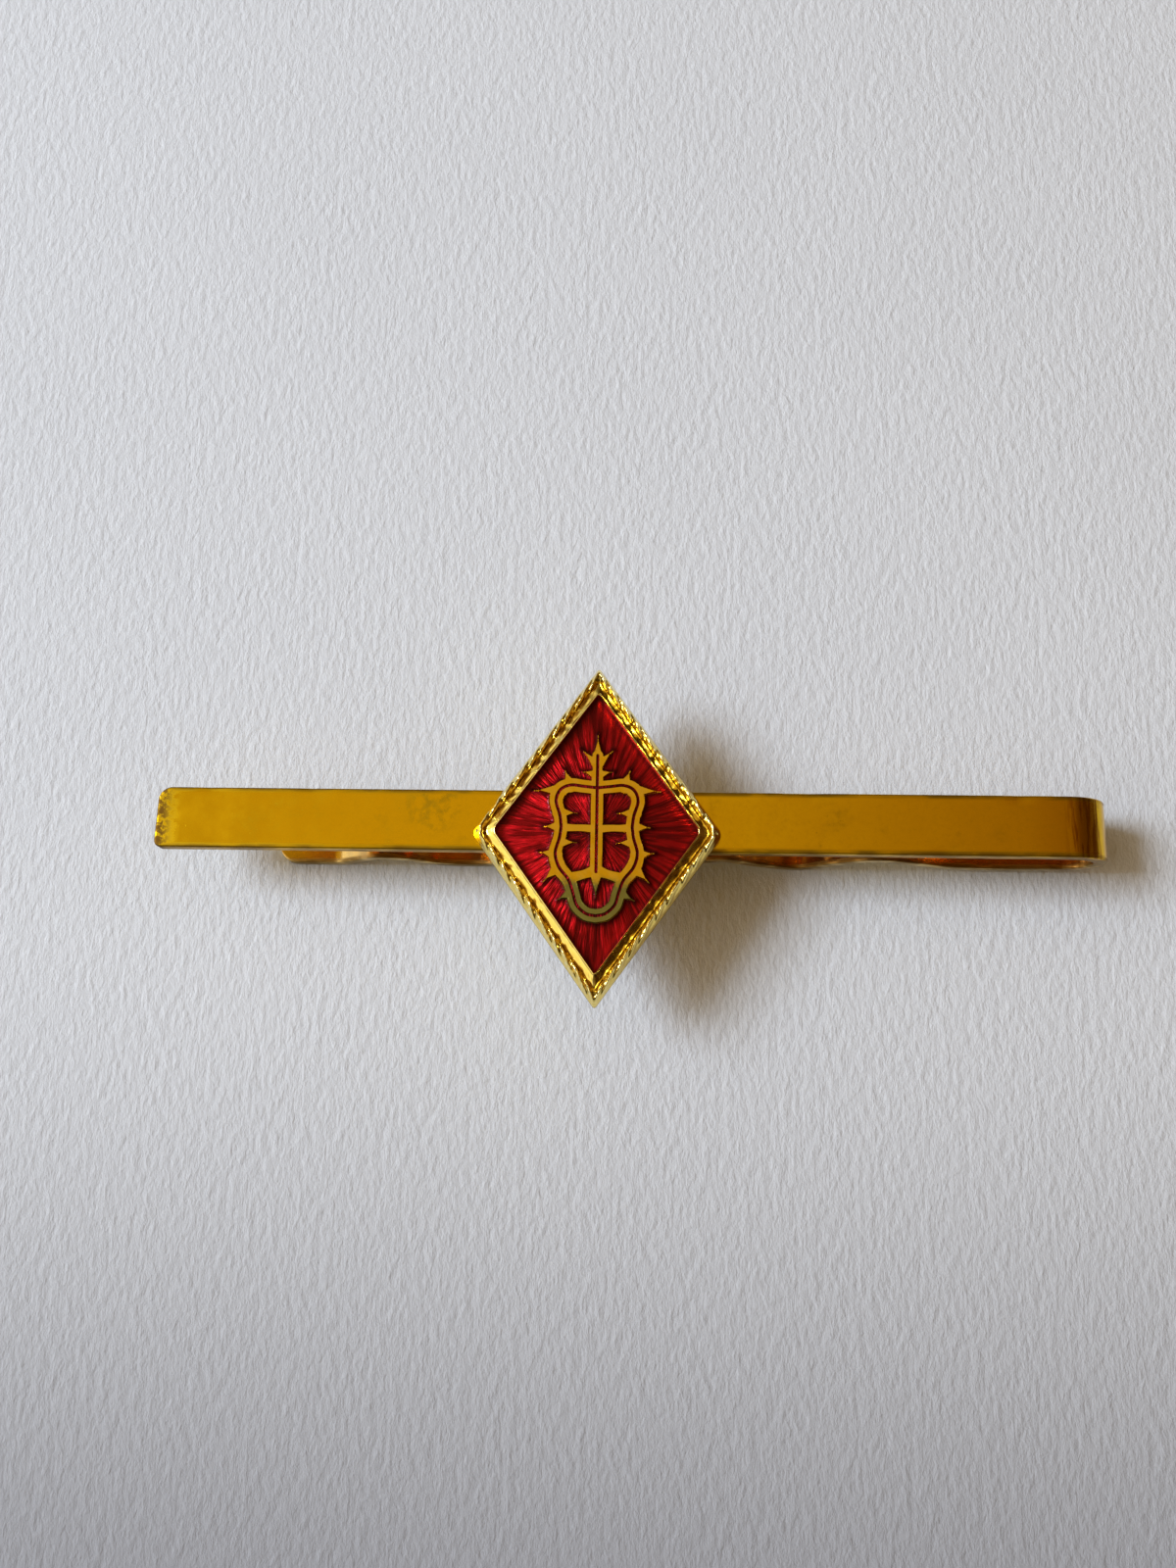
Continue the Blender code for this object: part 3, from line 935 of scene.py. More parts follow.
@dataclass
class ClaspStrip(SubAssembly):
    """The strip, bent into front bar, fold and waved spring leg, and made as one piece."""

    finish: bpy.types.Material
    edge_radius: float = 0.13
    end_slant: float = 0.08
    rear_corner: float = 0.9
    front_corner: float = 0.45
    tip_corner: float = 1.3
    leg_thickness: float = 0.7
    droop: float = 0.045
    droop_run: float = 2.8
    dents: tuple[tuple[float, ...], ...] = (
        (11.5, 2.0, 0.9, 0.10), (10.2, 2.05, 0.5, 0.06), (-27.6, 1.9, 0.6, 0.05), (20.1, -2.0, 0.7, 0.06),
        (-14.6, -2.0, 0.8, 0.05), (25.0, 1.95, 0.6, 0.06), (-20.9, 2.0, 0.5, 0.05),
    )
    leg_depths: tuple[Point, ...] = (
        (-24.0, 5.1), (-20.2, 5.1), (-18.5, 4.05), (-17.0, 2.95), (-15.2, 3.3),
        (-13.0, 4.7), (-10.9, 5.1), (-8.6, 4.3), (-5.0, 2.6), (-2.6, 3.5),
        (0.6, 4.9), (3.6, 3.8), (6.0, 2.45), (8.6, 4.05), (11.2, 5.1),
        (13.4, 3.3), (16.1, 1.95), (18.4, 2.75), (21.4, 4.05), (24.8, 4.4),
    )
    face_columns: int = 12
    corner_columns: int = 5

    def __post_init__(self) -> None:
        """Read the strip's overall sizes from the frame."""
        self.bar_low, self.bar_high = node_box("front_bar")
        self.fold_low, self.fold_high = node_box("fold_spring")
        self.fold_x = float(self.fold_low[0])
        self.middle_y = float(self.bar_low[1] + self.bar_high[1]) / 2
        self.half_width = float(self.bar_high[1] - self.bar_low[1]) / 2
        self.top = float(self.bar_high[2])
        self.thickness = float(self.bar_high[2] - self.bar_low[2])

    def leg_route(self) -> np.ndarray:
        """Run a smooth curve through the leg's depths.

        Returns:
            (x, depth) along the leg's upper face, from the fold to the tip.
        """
        fold_depth = self.top - float(self.fold_low[2]) - self.leg_thickness
        known = np.array((*self.leg_depths, (self.fold_x, fold_depth)))
        xs, depths = known.T
        slopes = np.diff(depths) / np.diff(xs)
        same_way = slopes[:-1] * slopes[1:] > 0
        harmonic = 2 * slopes[:-1] * slopes[1:] / np.where(same_way, slopes[:-1] + slopes[1:], 1.0)
        turns = np.concatenate([[0.0], np.where(same_way, harmonic, 0.0), [0.0]])
        tip = xs[0] + self.end_distances(self.tip_corner)
        places = np.concatenate([tip, np.arange(tip[-1] + 0.2, self.fold_x, 0.2)[:-1], [self.fold_x]])
        index = np.clip(np.searchsorted(xs, places, side="right") - 1, 0, len(xs) - 2)
        run = xs[index + 1] - xs[index]
        t = (places - xs[index]) / run
        depth = depths[index] * (1 + 2 * t) * (1 - t)**2 + depths[index + 1] * t**2 * (3 - 2 * t)
        depth += run * t * (1 - t) * ((1 - t) * turns[index] - t * turns[index + 1])
        return np.column_stack([places, depth])[::-1]

    def end_distances(self, corner: float) -> np.ndarray:
        """Space cross-sections near an end.

        Args:
            corner: the radius of the end's corners.

        Returns:
            Distances from the end, close together where edges and corners turn.
        """
        quarter = np.linspace(0.0, math.pi / 2, 12)
        edge = self.edge_radius * (1 - np.cos(quarter[::3]))
        return np.unique(np.round(np.concatenate([edge, corner * (1 - np.cos(quarter))]), 4))

    def stations(self) -> list[tuple[np.ndarray, np.ndarray, float, float]]:
        """List the strip's cross-sections, from the bar's free end to the leg's tip.

        Returns:
            For each, the outer point (x, z), the inner point, and the distances from the
            bar's free end and from the leg's tip.
        """
        rows = []
        near = self.end_distances(self.rear_corner)
        bar_run = self.fold_x - float(self.bar_low[0])
        for gone in np.concatenate([near, np.arange(near[-1] + 0.4, bar_run - 0.1, 0.4)]):
            x = float(self.bar_low[0]) + gone
            top = self.top - self.droop * max(0.0, 1 - (self.fold_x - x) / self.droop_run)**2
            rows.append((np.array((x, top)), np.array((x, top - self.thickness)), gone, FAR_AWAY))
        depth = self.top - float(self.fold_low[2])
        run = float(self.fold_high[0]) - self.fold_x
        inner_rise = (depth - self.leg_thickness - self.thickness) / 2
        inner_run = run - (self.thickness + self.leg_thickness) / 2
        for angle in np.linspace(math.pi / 2, -math.pi / 2, 45):
            drop = math.sin(angle) - 1
            sink = self.droop * (1 + drop / 2)
            outer_z = self.top + depth / 2 * drop - sink
            outer = np.array((self.fold_x + run * math.cos(angle), outer_z))
            inner_z = self.top - self.thickness + inner_rise * drop - sink
            inner = np.array((self.fold_x + inner_run * math.cos(angle), inner_z))
            rows.append((outer, inner, FAR_AWAY, FAR_AWAY))
        route = self.leg_route()[1:]
        heading = np.gradient(route, axis=0)
        heading /= np.linalg.norm(heading, axis=1)[:, None]
        for (x, down), (along, sinking) in zip(route, heading):
            upper = np.array((x, self.top - down))
            square = np.array((sinking, along))
            from_tip = x - self.leg_depths[0][0]
            rows.append((upper + square * self.leg_thickness, upper, FAR_AWAY, from_tip))
        return rows

    def section(self, thickness: float, low: float, high: float) -> np.ndarray:
        """Draw one cross-section.

        Args:
            thickness: the strip's thickness there.
            low: its front edge, about the middle.
            high: its rear edge.

        Returns:
            A rounded rectangle as (height from the inner face, y) points, all the way round.
        """
        radius = min(self.edge_radius, thickness / 2.3)
        arc = np.linspace(0.0, math.pi / 2, self.corner_columns + 1)
        face = np.linspace(low + radius, high - radius, self.face_columns + 1)[1:-1]
        rise, spread = radius * np.cos(arc), radius * np.sin(arc)
        outer = [(thickness, y) for y in face]
        outer += list(zip(thickness - radius + rise, high - radius + spread))
        outer += list(zip(radius - spread, high - radius + rise))
        inner = [(0.0, y) for y in face[::-1]]
        inner += list(zip(radius - rise, low + radius - spread))
        inner += list(zip(thickness - radius + spread, low + radius - rise))
        return np.array(outer + inner)

    def dent_depth(self, x: float, y: np.ndarray) -> np.ndarray:
        """Add up the small knocks across one section.

        Args:
            x: where the section lies.
            y: places across it.

        Returns:
            How deep the face is pressed at each place.
        """
        depth = np.zeros(len(y))
        for place, side, run, deep in self.dents:
            depth += deep * math.exp(-(((x - place) / run) ** 2)) * np.exp(-(((y - side) / 0.22) ** 2))
        return depth

    def drawn_in(self, gone: float, corner: float) -> float:
        """Work out a rounded corner.

        Args:
            gone: distance from the end.
            corner: the corner's radius.

        Returns:
            How far the corner has drawn the edge in there.
        """
        if gone >= corner:
            return 0.0
        return corner - math.sqrt(corner**2 - (corner - gone)**2)

    def build(self) -> bpy.types.Object:
        """Sweep the section along the strip and close both ends.

        Returns:
            The strip, as one piece.
        """
        rings = []
        for outer, inner, from_free_end, from_tip in self.stations():
            gone = min(from_free_end, from_tip)
            inset = self.drawn_in(gone, self.edge_radius)
            rear = self.rear_corner if from_free_end < from_tip else self.tip_corner
            front = self.front_corner if from_free_end < from_tip else self.tip_corner
            low = -self.half_width + max(inset, self.drawn_in(gone, front))
            high = self.half_width - max(inset, self.drawn_in(gone, rear))
            across = outer - inner
            thickness = float(np.linalg.norm(across))
            across /= thickness
            points = self.section(thickness - 2 * inset, low, high)
            places = inner + np.outer(points[:, 0] + inset, across)
            if from_tip == FAR_AWAY:
                places[:, 1] -= self.dent_depth(outer[0], points[:, 1]) * (points[:, 0] > thickness / 2)
            slant = self.end_slant * float(np.clip(1 - from_free_end / 2.5, 0.0, 1.0))
            places[:, 0] += slant * (points[:, 1] / (2 * self.half_width) + 0.5)
            rings.append(np.column_stack([places[:, 0], points[:, 1] + self.middle_y, places[:, 1]]))
        return swept_piece("clasp_strip", rings, self.finish)

    def dress(self, piece: bpy.types.Object) -> None:
        """Bake the strip's transform, and stand it for the solids it covers, which are hidden.

        Args:
            piece: the strip.
        """
        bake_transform(piece)
        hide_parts("front_bar", "fold_spring", "spring_leg")


# ------------------------------------------------------------------ the emblem


@dataclass
class Diamond:
    """The emblem's diamond: its place and outline, read from the frame."""

    side_radius: float = 0.7
    tip_radius: float = 0.15
    field_ratio: float = 0.812
    seat_gap: float = 0.03

    def __post_init__(self) -> None:
        """Read the outer size and the heights from the frame."""
        low, high = node_box("emblem_border")
        self.centre = (low + high) / 2
        self.base = float(low[2])
        self.border_top = float(high[2])
        self.enamel_top = float(node_box("enamel_field")[1][2])
        self.floor_top = float(node_box("emblem_plate")[1][2])
        self.seat = self.floor_top + self.seat_gap
        self.ornament_top = float(node_box("ornament")[1][2])
        self.bar_top = float(node_box("front_bar")[1][2])
        reach = (high - low)[:2] / 2
        tall_share = reach[1] / reach[0]
        self.half_width = float(reach[0]) + self.side_radius * (math.hypot(1, tall_share) / tall_share - 1)
        self.half_height = float(reach[1]) + self.tip_radius * (math.hypot(1, tall_share) - 1)
        self.side_length = math.hypot(self.half_width, self.half_height)

    def outline(self, per_side: int) -> np.ndarray:
        """Space points along the outer diamond.

        Args:
            per_side: how many points a side has.

        Returns:
            Points from the right corner, four sides round.
        """
        slope = math.atan2(self.half_height, self.half_width)
        side = self.corner_arc((self.half_width, 0.0), self.side_radius, 0.0, math.pi / 2 - slope)
        tip = self.corner_arc((0.0, self.half_height), self.tip_radius, math.pi / 2 - slope, math.pi / 2)
        quarter = np.array(side + tip)
        gone = np.concatenate([[0.0], np.cumsum(np.linalg.norm(np.diff(quarter, axis=0), axis=1))])
        places = np.linspace(0.0, gone[-1], per_side + 1)
        even = np.column_stack([np.interp(places, gone, quarter[:, k]) for k in (0, 1)])
        second = even[::-1] * (-1, 1)
        return np.vstack([even[:-1], second[:-1], -even[:-1], -second[:-1]])

    def corner_arc(self, corner: Point, radius: float, start: float, end: float) -> list[Point]:
        """Draw the first quarter's part of a rounded corner.

        Args:
            corner: the sharp corner it replaces.
            radius: its radius.
            start: the arc's first angle, in radians.
            end: its last angle.

        Returns:
            Points along the arc.
        """
        upright = corner[0] == 0.0
        slope = math.atan2(self.half_height, self.half_width)
        back = radius / (math.cos(slope) if upright else math.sin(slope))
        middle = (0.0, corner[1] - back) if upright else (corner[0] - back, 0.0)
        return [(middle[0] + radius * math.cos(a), middle[1] + radius * math.sin(a))
                for a in np.linspace(start, end, 9)]

    def inside(self, x: np.ndarray, y: np.ndarray, ratio: float) -> np.ndarray:
        """Measure inwards from the diamond's sides.

        Args:
            x: places about the centre.
            y: places about the centre.
            ratio: the diamond's scale.

        Returns:
            How far each place lies inside, in millimetres.
        """
        wide, tall = self.half_width * ratio, self.half_height * ratio
        return (1 - np.abs(x) / wide - np.abs(y) / tall) * wide * tall / math.hypot(wide, tall)


@dataclass
class CarvedBorder(SubAssembly):
    """The raised border: a plain rim and cove inside, and a rope of carved leaves outside."""

    diamond: Diamond
    finish: bpy.types.Material
    leaf_pitch: float = 1.42
    leaf_height: float = 0.24
    leaf_band: Point = (0.46, 0.98)
    flare: float = 0.12
    hammering: float = 0.012
    per_side: int = 300
    profile: tuple[Point, ...] = (
        (0.00, 0.70), (0.00, 1.40), (0.010, 1.50), (0.03, 1.55), (0.052, 1.55), (0.08, 1.50),
        (0.13, 1.445), (0.24, 1.36), (0.34, 1.28), (0.41, 1.23), (0.455, 1.20), (0.485, 1.21),
        (0.52, 1.28), (0.575, 1.38), (0.635, 1.43), (0.70, 1.42), (0.785, 1.32), (0.87, 1.15),
        (0.94, 0.92), (0.985, 0.67), (1.00, 0.50), (1.00, 0.22), (0.985, 0.09), (0.94, 0.03),
        (0.00, 0.03),
    )

    def sampled_profile(self) -> np.ndarray:
        """Fill the profile in.

        Returns:
            The closed profile, with points at most 0.045 mm apart on its top.
        """
        width = self.diamond.side_length / 2 * (1 - self.diamond.field_ratio)
        points = []
        closed = (*self.profile, self.profile[0])
        for (start, low), (end, high) in zip(closed, closed[1:]):
            spacing = 0.045 if max(low, high) > 0.5 else 0.3
            steps = max(1, round(math.hypot((end - start) * width, high - low) / spacing))
            for share in np.arange(steps) / steps:
                points.append((start + (end - start) * share, low + (high - low) * share))
        return np.array(points)

    def leaves(self, gone: np.ndarray, across: np.ndarray) -> np.ndarray:
        """Return the leaf relief, from 0 in the cuts between leaves to 1 on their backs.

        Args:
            gone: distance along the side from the left or right corner.
            across: place across the leaf band, 0 inside to 1 outside.

        Returns:
            The height of whichever leaf lies uppermost.
        """
        wander = 0.10 * np.sin(gone * 1.9 + 0.7) + 0.06 * np.sin(gone * 4.7)
        place = gone / self.leaf_pitch + wander
        tallest = np.zeros(np.broadcast(gone, across).shape)
        for behind in (-1, 0, 1):
            number = np.floor(place) - behind
            vigour = 0.86 + 0.14 * np.sin(number * 12.9)
            along = (place - number + 0.12 + 0.05 * np.sin(number * 7.3)) / 1.28
            swell = np.sin(math.pi * np.clip(along, 0.0, 1.0) ** 0.8) ** 0.6
            spine = 0.20 + 0.58 * along
            half = 0.04 + 0.25 * swell
            offset = np.clip(np.abs(across - spine) / half, 0.0, 1.0)
            tallest = np.maximum(tallest, (1 - offset**1.7) * swell * vigour)
        return tallest

    def build(self) -> bpy.types.Object:
        """Sweep the profile round the diamond and carve the leaves into it.

        Returns:
            The border.
        """
        outer = self.diamond.outline(self.per_side)
        profile = self.sampled_profile()
        across, height = profile[:, 0], profile[:, 1]
        scale = self.diamond.field_ratio + (1 - self.diamond.field_ratio) * across
        gone = np.abs(outer[:, 1]) / self.diamond.half_height * self.diamond.side_length
        start, end = self.leaf_band
        band = (across[None, :] - start) / (end - start)
        carved = self.leaves(gone[:, None], band)
        window = smoothstep(band, -0.04, 0.06) * (1 - smoothstep(band, 0.95, 1.1))
        above = height[None, :] > 0.5
        lift = np.where(above, self.leaf_height * (carved - 0.62) * window, 0.0)
        cuts = np.sin(gone[:, None] * 15.7 + 5 * band) * np.sin(gone[:, None] * 2.3 + 1.1)
        lift += np.where(above, 0.012 * cuts * window, 0.0)
        waves = np.sin(gone[:, None] * 5.3 + 1.7 * np.sin(gone[:, None] * 1.9))
        waves = waves * np.sin(across[None, :] * 13.0 + gone[:, None] * 0.8)
        bevel = smoothstep(across[None, :], 0.06, 0.18) * (1 - window)
        lift += np.where(above, self.hammering * waves * bevel, 0.0)
        spread = np.where(above, self.flare * carved * smoothstep(band, 0.6, 1.0), 0.0)
        wide = scale[None, :] + spread / self.diamond.half_width
        x = outer[:, 0][:, None] * wide + self.diamond.centre[0]
        y = outer[:, 1][:, None] * wide + self.diamond.centre[1]
        z = np.broadcast_to(self.diamond.bar_top + height[None, :] + lift, x.shape)
        points = np.stack([x, y, z], axis=-1).reshape(-1, 3)
        faces = sheet_faces(len(outer), len(profile), ring_rows=True, ring_columns=True)
        return add_piece("carved_border", points, faces, self.finish, crease=60.0)

    def dress(self, piece: bpy.types.Object) -> None:
        """Fix the border to the bar."""
        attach(piece, Body.BAR.value)
        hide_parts("emblem_border")


@dataclass
class EmblemBack(SubAssembly):
    """The tray floor of the stamping, with a slightly dished and hammered back."""

    diamond: Diamond
    finish: bpy.types.Material
    dish: float = 0.16
    per_side: int = 50
    rings: int = 22

    def build(self) -> bpy.types.Object:
        """Make the floor's top and its dished back, joined round the rim.

        Returns:
            The emblem's back.
        """
        rim = self.diamond.outline(self.per_side) * (self.diamond.field_ratio - 0.002)
        middle = self.diamond.centre[:2]
        shares = np.linspace(0.03, 1.0, self.rings)
        rows = []
        for share in shares:
            hollow = self.dish * (1 - share**6)
            hammer = 0.006 * np.sin(rim[:, 0] * share * 5.1) * np.sin(rim[:, 1] * share * 4.3)
            height = self.diamond.base + hollow + hammer * (1 - share**8)
            rows.append(np.column_stack([rim * share + middle, height]))
        for share in shares[::-1]:
            flat = np.full(len(rim), self.diamond.floor_top)
            rows.append(np.column_stack([rim * share + middle, flat]))
        return swept_piece("emblem_back", rows, self.finish)

    def dress(self, piece: bpy.types.Object) -> None:
        """Fix the back to the bar."""
        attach(piece, Body.BAR.value)
        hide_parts("emblem_plate")


@dataclass
class StrapDesign:
    """The ornament's drawing: straps with a channel down their middle, and hollow-sided thorns."""

    bands: tuple[tuple[Triple, ...], ...] = (
        ((0.0, 5.0, 0.42), (0.0, 4.3, 0.37), (0.0, 3.0, 0.46), (0.0, 0.0, 0.46), (0.0, -2.6, 0.46)),
        ((0.0, 2.85, 0.5), (0.9, 2.95, 0.5), (1.7, 3.02, 0.52), (2.35, 2.72, 0.54),
         (2.62, 2.0, 0.5), (2.36, 1.05, 0.48), (2.26, 0.3, 0.5)),
        ((2.26, 0.3, 0.5), (2.36, -0.45, 0.48), (2.6, -1.4, 0.5), (2.36, -2.3, 0.54), (1.75, -3.1, 0.5),
         (1.45, -3.9, 0.48), (1.2, -4.7, 0.48), (0.62, -5.25, 0.49), (0.0, -5.4, 0.49)),
        ((0.0, 0.15, 0.34), (0.9, 0.22, 0.3), (1.5, 0.22, 0.3), (2.3, 0.25, 0.36)),
        ((0.0, -2.5, 0.46), (0.7, -2.75, 0.36), (1.4, -2.95, 0.4), (1.8, -3.05, 0.44)),
    )
    channelled: tuple[int, ...] = (0, 1, 2)
    thorns: tuple[tuple[float, ...], ...] = (
        (0.0, 4.7, 0.0, 6.42, 0.44), (0.0, 4.35, 1.05, 5.42, 0.42), (0.0, 3.72, 1.05, 3.95, 0.42),
        (2.3, 2.7, 4.05, 2.66, 0.52), (1.72, 2.95, 2.12, 4.1, 0.5), (2.25, 0.3, 3.5, 0.3, 0.5),
        (2.55, -1.5, 3.7, -1.35, 0.49), (2.35, -2.3, 3.35, -3.25, 0.52), (1.45, -3.9, 2.42, -4.4, 0.47),
        (2.45, 1.2, 1.22, 1.2, 0.48), (2.45, -0.72, 1.22, -0.72, 0.48), (0.0, -2.6, 0.0, -4.25, 0.5),
    )
    thorn_taper: float = 1.15
    thorn_point: float = 0.03
    channel_half_width: float = 0.085
    channel_margin: float = 0.17
    reach: Point = (4.8, 7.2)
    grid_step: float = 0.04

    def smooth_band(self, stations: tuple[Triple, ...]) -> np.ndarray:
        """Draw a smooth line through a band's stations.

        Args:
            stations: x, y and half width at each station.

        Returns:
            Closely spaced points, with the half width at each.
        """
        known = np.array(stations)
        padded = np.vstack((2 * known[0] - known[1], known, 2 * known[-1] - known[-2]))
        points = []
        for before, start, end, after in zip(padded, padded[1:], padded[2:], padded[3:]):
            for t in np.arange(8) / 8:
                bend = 2 * before - 5 * start + 4 * end - after
                twist = 3 * start - before - 3 * end + after
                points.append(start + ((end - before) * t + bend * t**2 + twist * t**3) / 2)
        points.append(known[-1])
        return np.array(points)

    def thorn_line(self, thorn: tuple[float, ...]) -> np.ndarray:
        """Draw a thorn.

        Args:
            thorn: its root, its point and the radius at its root.

        Returns:
            Points from root to point, with the radius at each.
        """
        root_x, root_y, point_x, point_y, radius = thorn
        t = np.linspace(0.0, 1.0, 8)
        thickness = np.maximum(radius * (1 - t) ** self.thorn_taper, self.thorn_point)
        return np.column_stack([root_x + (point_x - root_x) * t, root_y + (point_y - root_y) * t, thickness])

    @staticmethod
    def line_distance(lines: list[np.ndarray], x: np.ndarray, y: np.ndarray) -> np.ndarray:
        """Measure from tapered lines, mirrored about x = 0.

        Args:
            lines: points and radii along each line.
            x: places measured.
            y: places measured.

        Returns:
            How far each place lies outside the lines, negative inside.
        """
        mirrored = np.abs(x)
        nearest = np.full(np.shape(x), np.inf)
        for line in lines:
            for (start_x, start_y, start_radius), (end_x, end_y, end_radius) in zip(line, line[1:]):
                run_x, run_y = end_x - start_x, end_y - start_y
                share = ((mirrored - start_x) * run_x + (y - start_y) * run_y) / (run_x**2 + run_y**2)
                share = np.clip(share, 0.0, 1.0)
                gap = np.hypot(mirrored - start_x - share * run_x, y - start_y - share * run_y)
                nearest = np.minimum(nearest, gap - start_radius - share * (end_radius - start_radius))
        return nearest

    def gold(self, x: np.ndarray, y: np.ndarray) -> np.ndarray:
        """Measure from the ornament's edge.

        Args:
            x: places about the emblem's centre.
            y: places about the emblem's centre.

        Returns:
            How far each place lies outside the metal, negative inside.
        """
        lines = [self.smooth_band(band) for band in self.bands]
        lines += [self.thorn_line(thorn) for thorn in self.thorns]
        return self.line_distance(lines, x, y)

    def channel(self, x: np.ndarray, y: np.ndarray) -> np.ndarray:
        """Measure from the channels down the straps.

        Args:
            x: places about the emblem's centre.
            y: places about the emblem's centre.

        Returns:
            How far each place lies outside the channels, negative inside.
        """
        lines = []
        for index in self.channelled:
            line = self.smooth_band(self.bands[index])
            line[:, 2] = self.channel_half_width
            lines.append(line)
        return np.maximum(self.line_distance(lines, x, y), self.gold(x, y) + self.channel_margin)

    def trace(self, rule: HeightRule, level: float) -> list[Outline]:
        """Return the lines where one of the drawing's rules equals a level."""
        return trace_outlines(rule, level, self.reach, self.grid_step)


@dataclass
class StrapOrnament(SubAssembly):
    """The raised ornament: flat-topped metal with chamfered edges and sunk channels."""

    design: StrapDesign
    diamond: Diamond
    finish: bpy.types.Material
    chamfer: float = 0.085
    channel_depth: float = 0.20
    grid: float = 0.11

    def top_height(self, x: np.ndarray, y: np.ndarray) -> np.ndarray:
        """Work out the ornament's top.

        Args:
            x: places about the emblem's centre.
            y: places about the emblem's centre.

        Returns:
            The height at each place.
        """
        outside = self.design.gold(x, y)
        top = self.diamond.ornament_top
        rise = top - self.diamond.enamel_top + 0.03
        height = top - rise * smoothstep(outside, -self.chamfer, 0.0)
        hammered = 0.005 * np.sin(3.1 * x + 1.3 * np.sin(2.3 * y)) * np.sin(2.7 * y + 0.8)
        sunk = self.channel_depth * (1 - smoothstep(self.design.channel(x, y), -0.035, 0.02))
        return height + hammered * (outside < -self.chamfer) - sunk

    def inner_points(self) -> np.ndarray:
        """Choose where the top is measured.

        Returns:
            Places inside the metal: rows beside its edges and channels, and an even grid.
        """
        rows = []
        for level in (-0.02, -0.045, -self.chamfer, -0.1):
            rows += self.design.trace(self.design.gold, level)
        for level in (-0.035, -0.01, 0.02, 0.05):
            rows += self.design.trace(self.design.channel, level)
        reach_x, reach_y = self.design.reach
        x, y = np.meshgrid(np.arange(-reach_x, reach_x, self.grid), np.arange(-reach_y, reach_y, self.grid))
        clear = (self.design.gold(x, y) < -0.14) & (self.design.channel(x, y) > 0.08)
        rows.append(np.column_stack([x[clear], y[clear]]))
        return np.vstack(rows)

    def build(self) -> bpy.types.Object:
        """Make the ornament's relief.

        Returns:
            The ornament.
        """
        outlines = self.design.trace(self.design.gold, 0.0)
        inner = self.inner_points()
        inner = inner[self.design.gold(inner[:, 0], inner[:, 1]) < -0.012]
        return relief_solid("strap_ornament", outlines, inner, self.top_height, self.diamond.seat,
                            self.diamond.centre, self.finish, crease=32.0)

    def dress(self, piece: bpy.types.Object) -> None:
        """Fix the ornament to the bar."""
        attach(piece, Body.BAR.value)
        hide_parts("ornament")


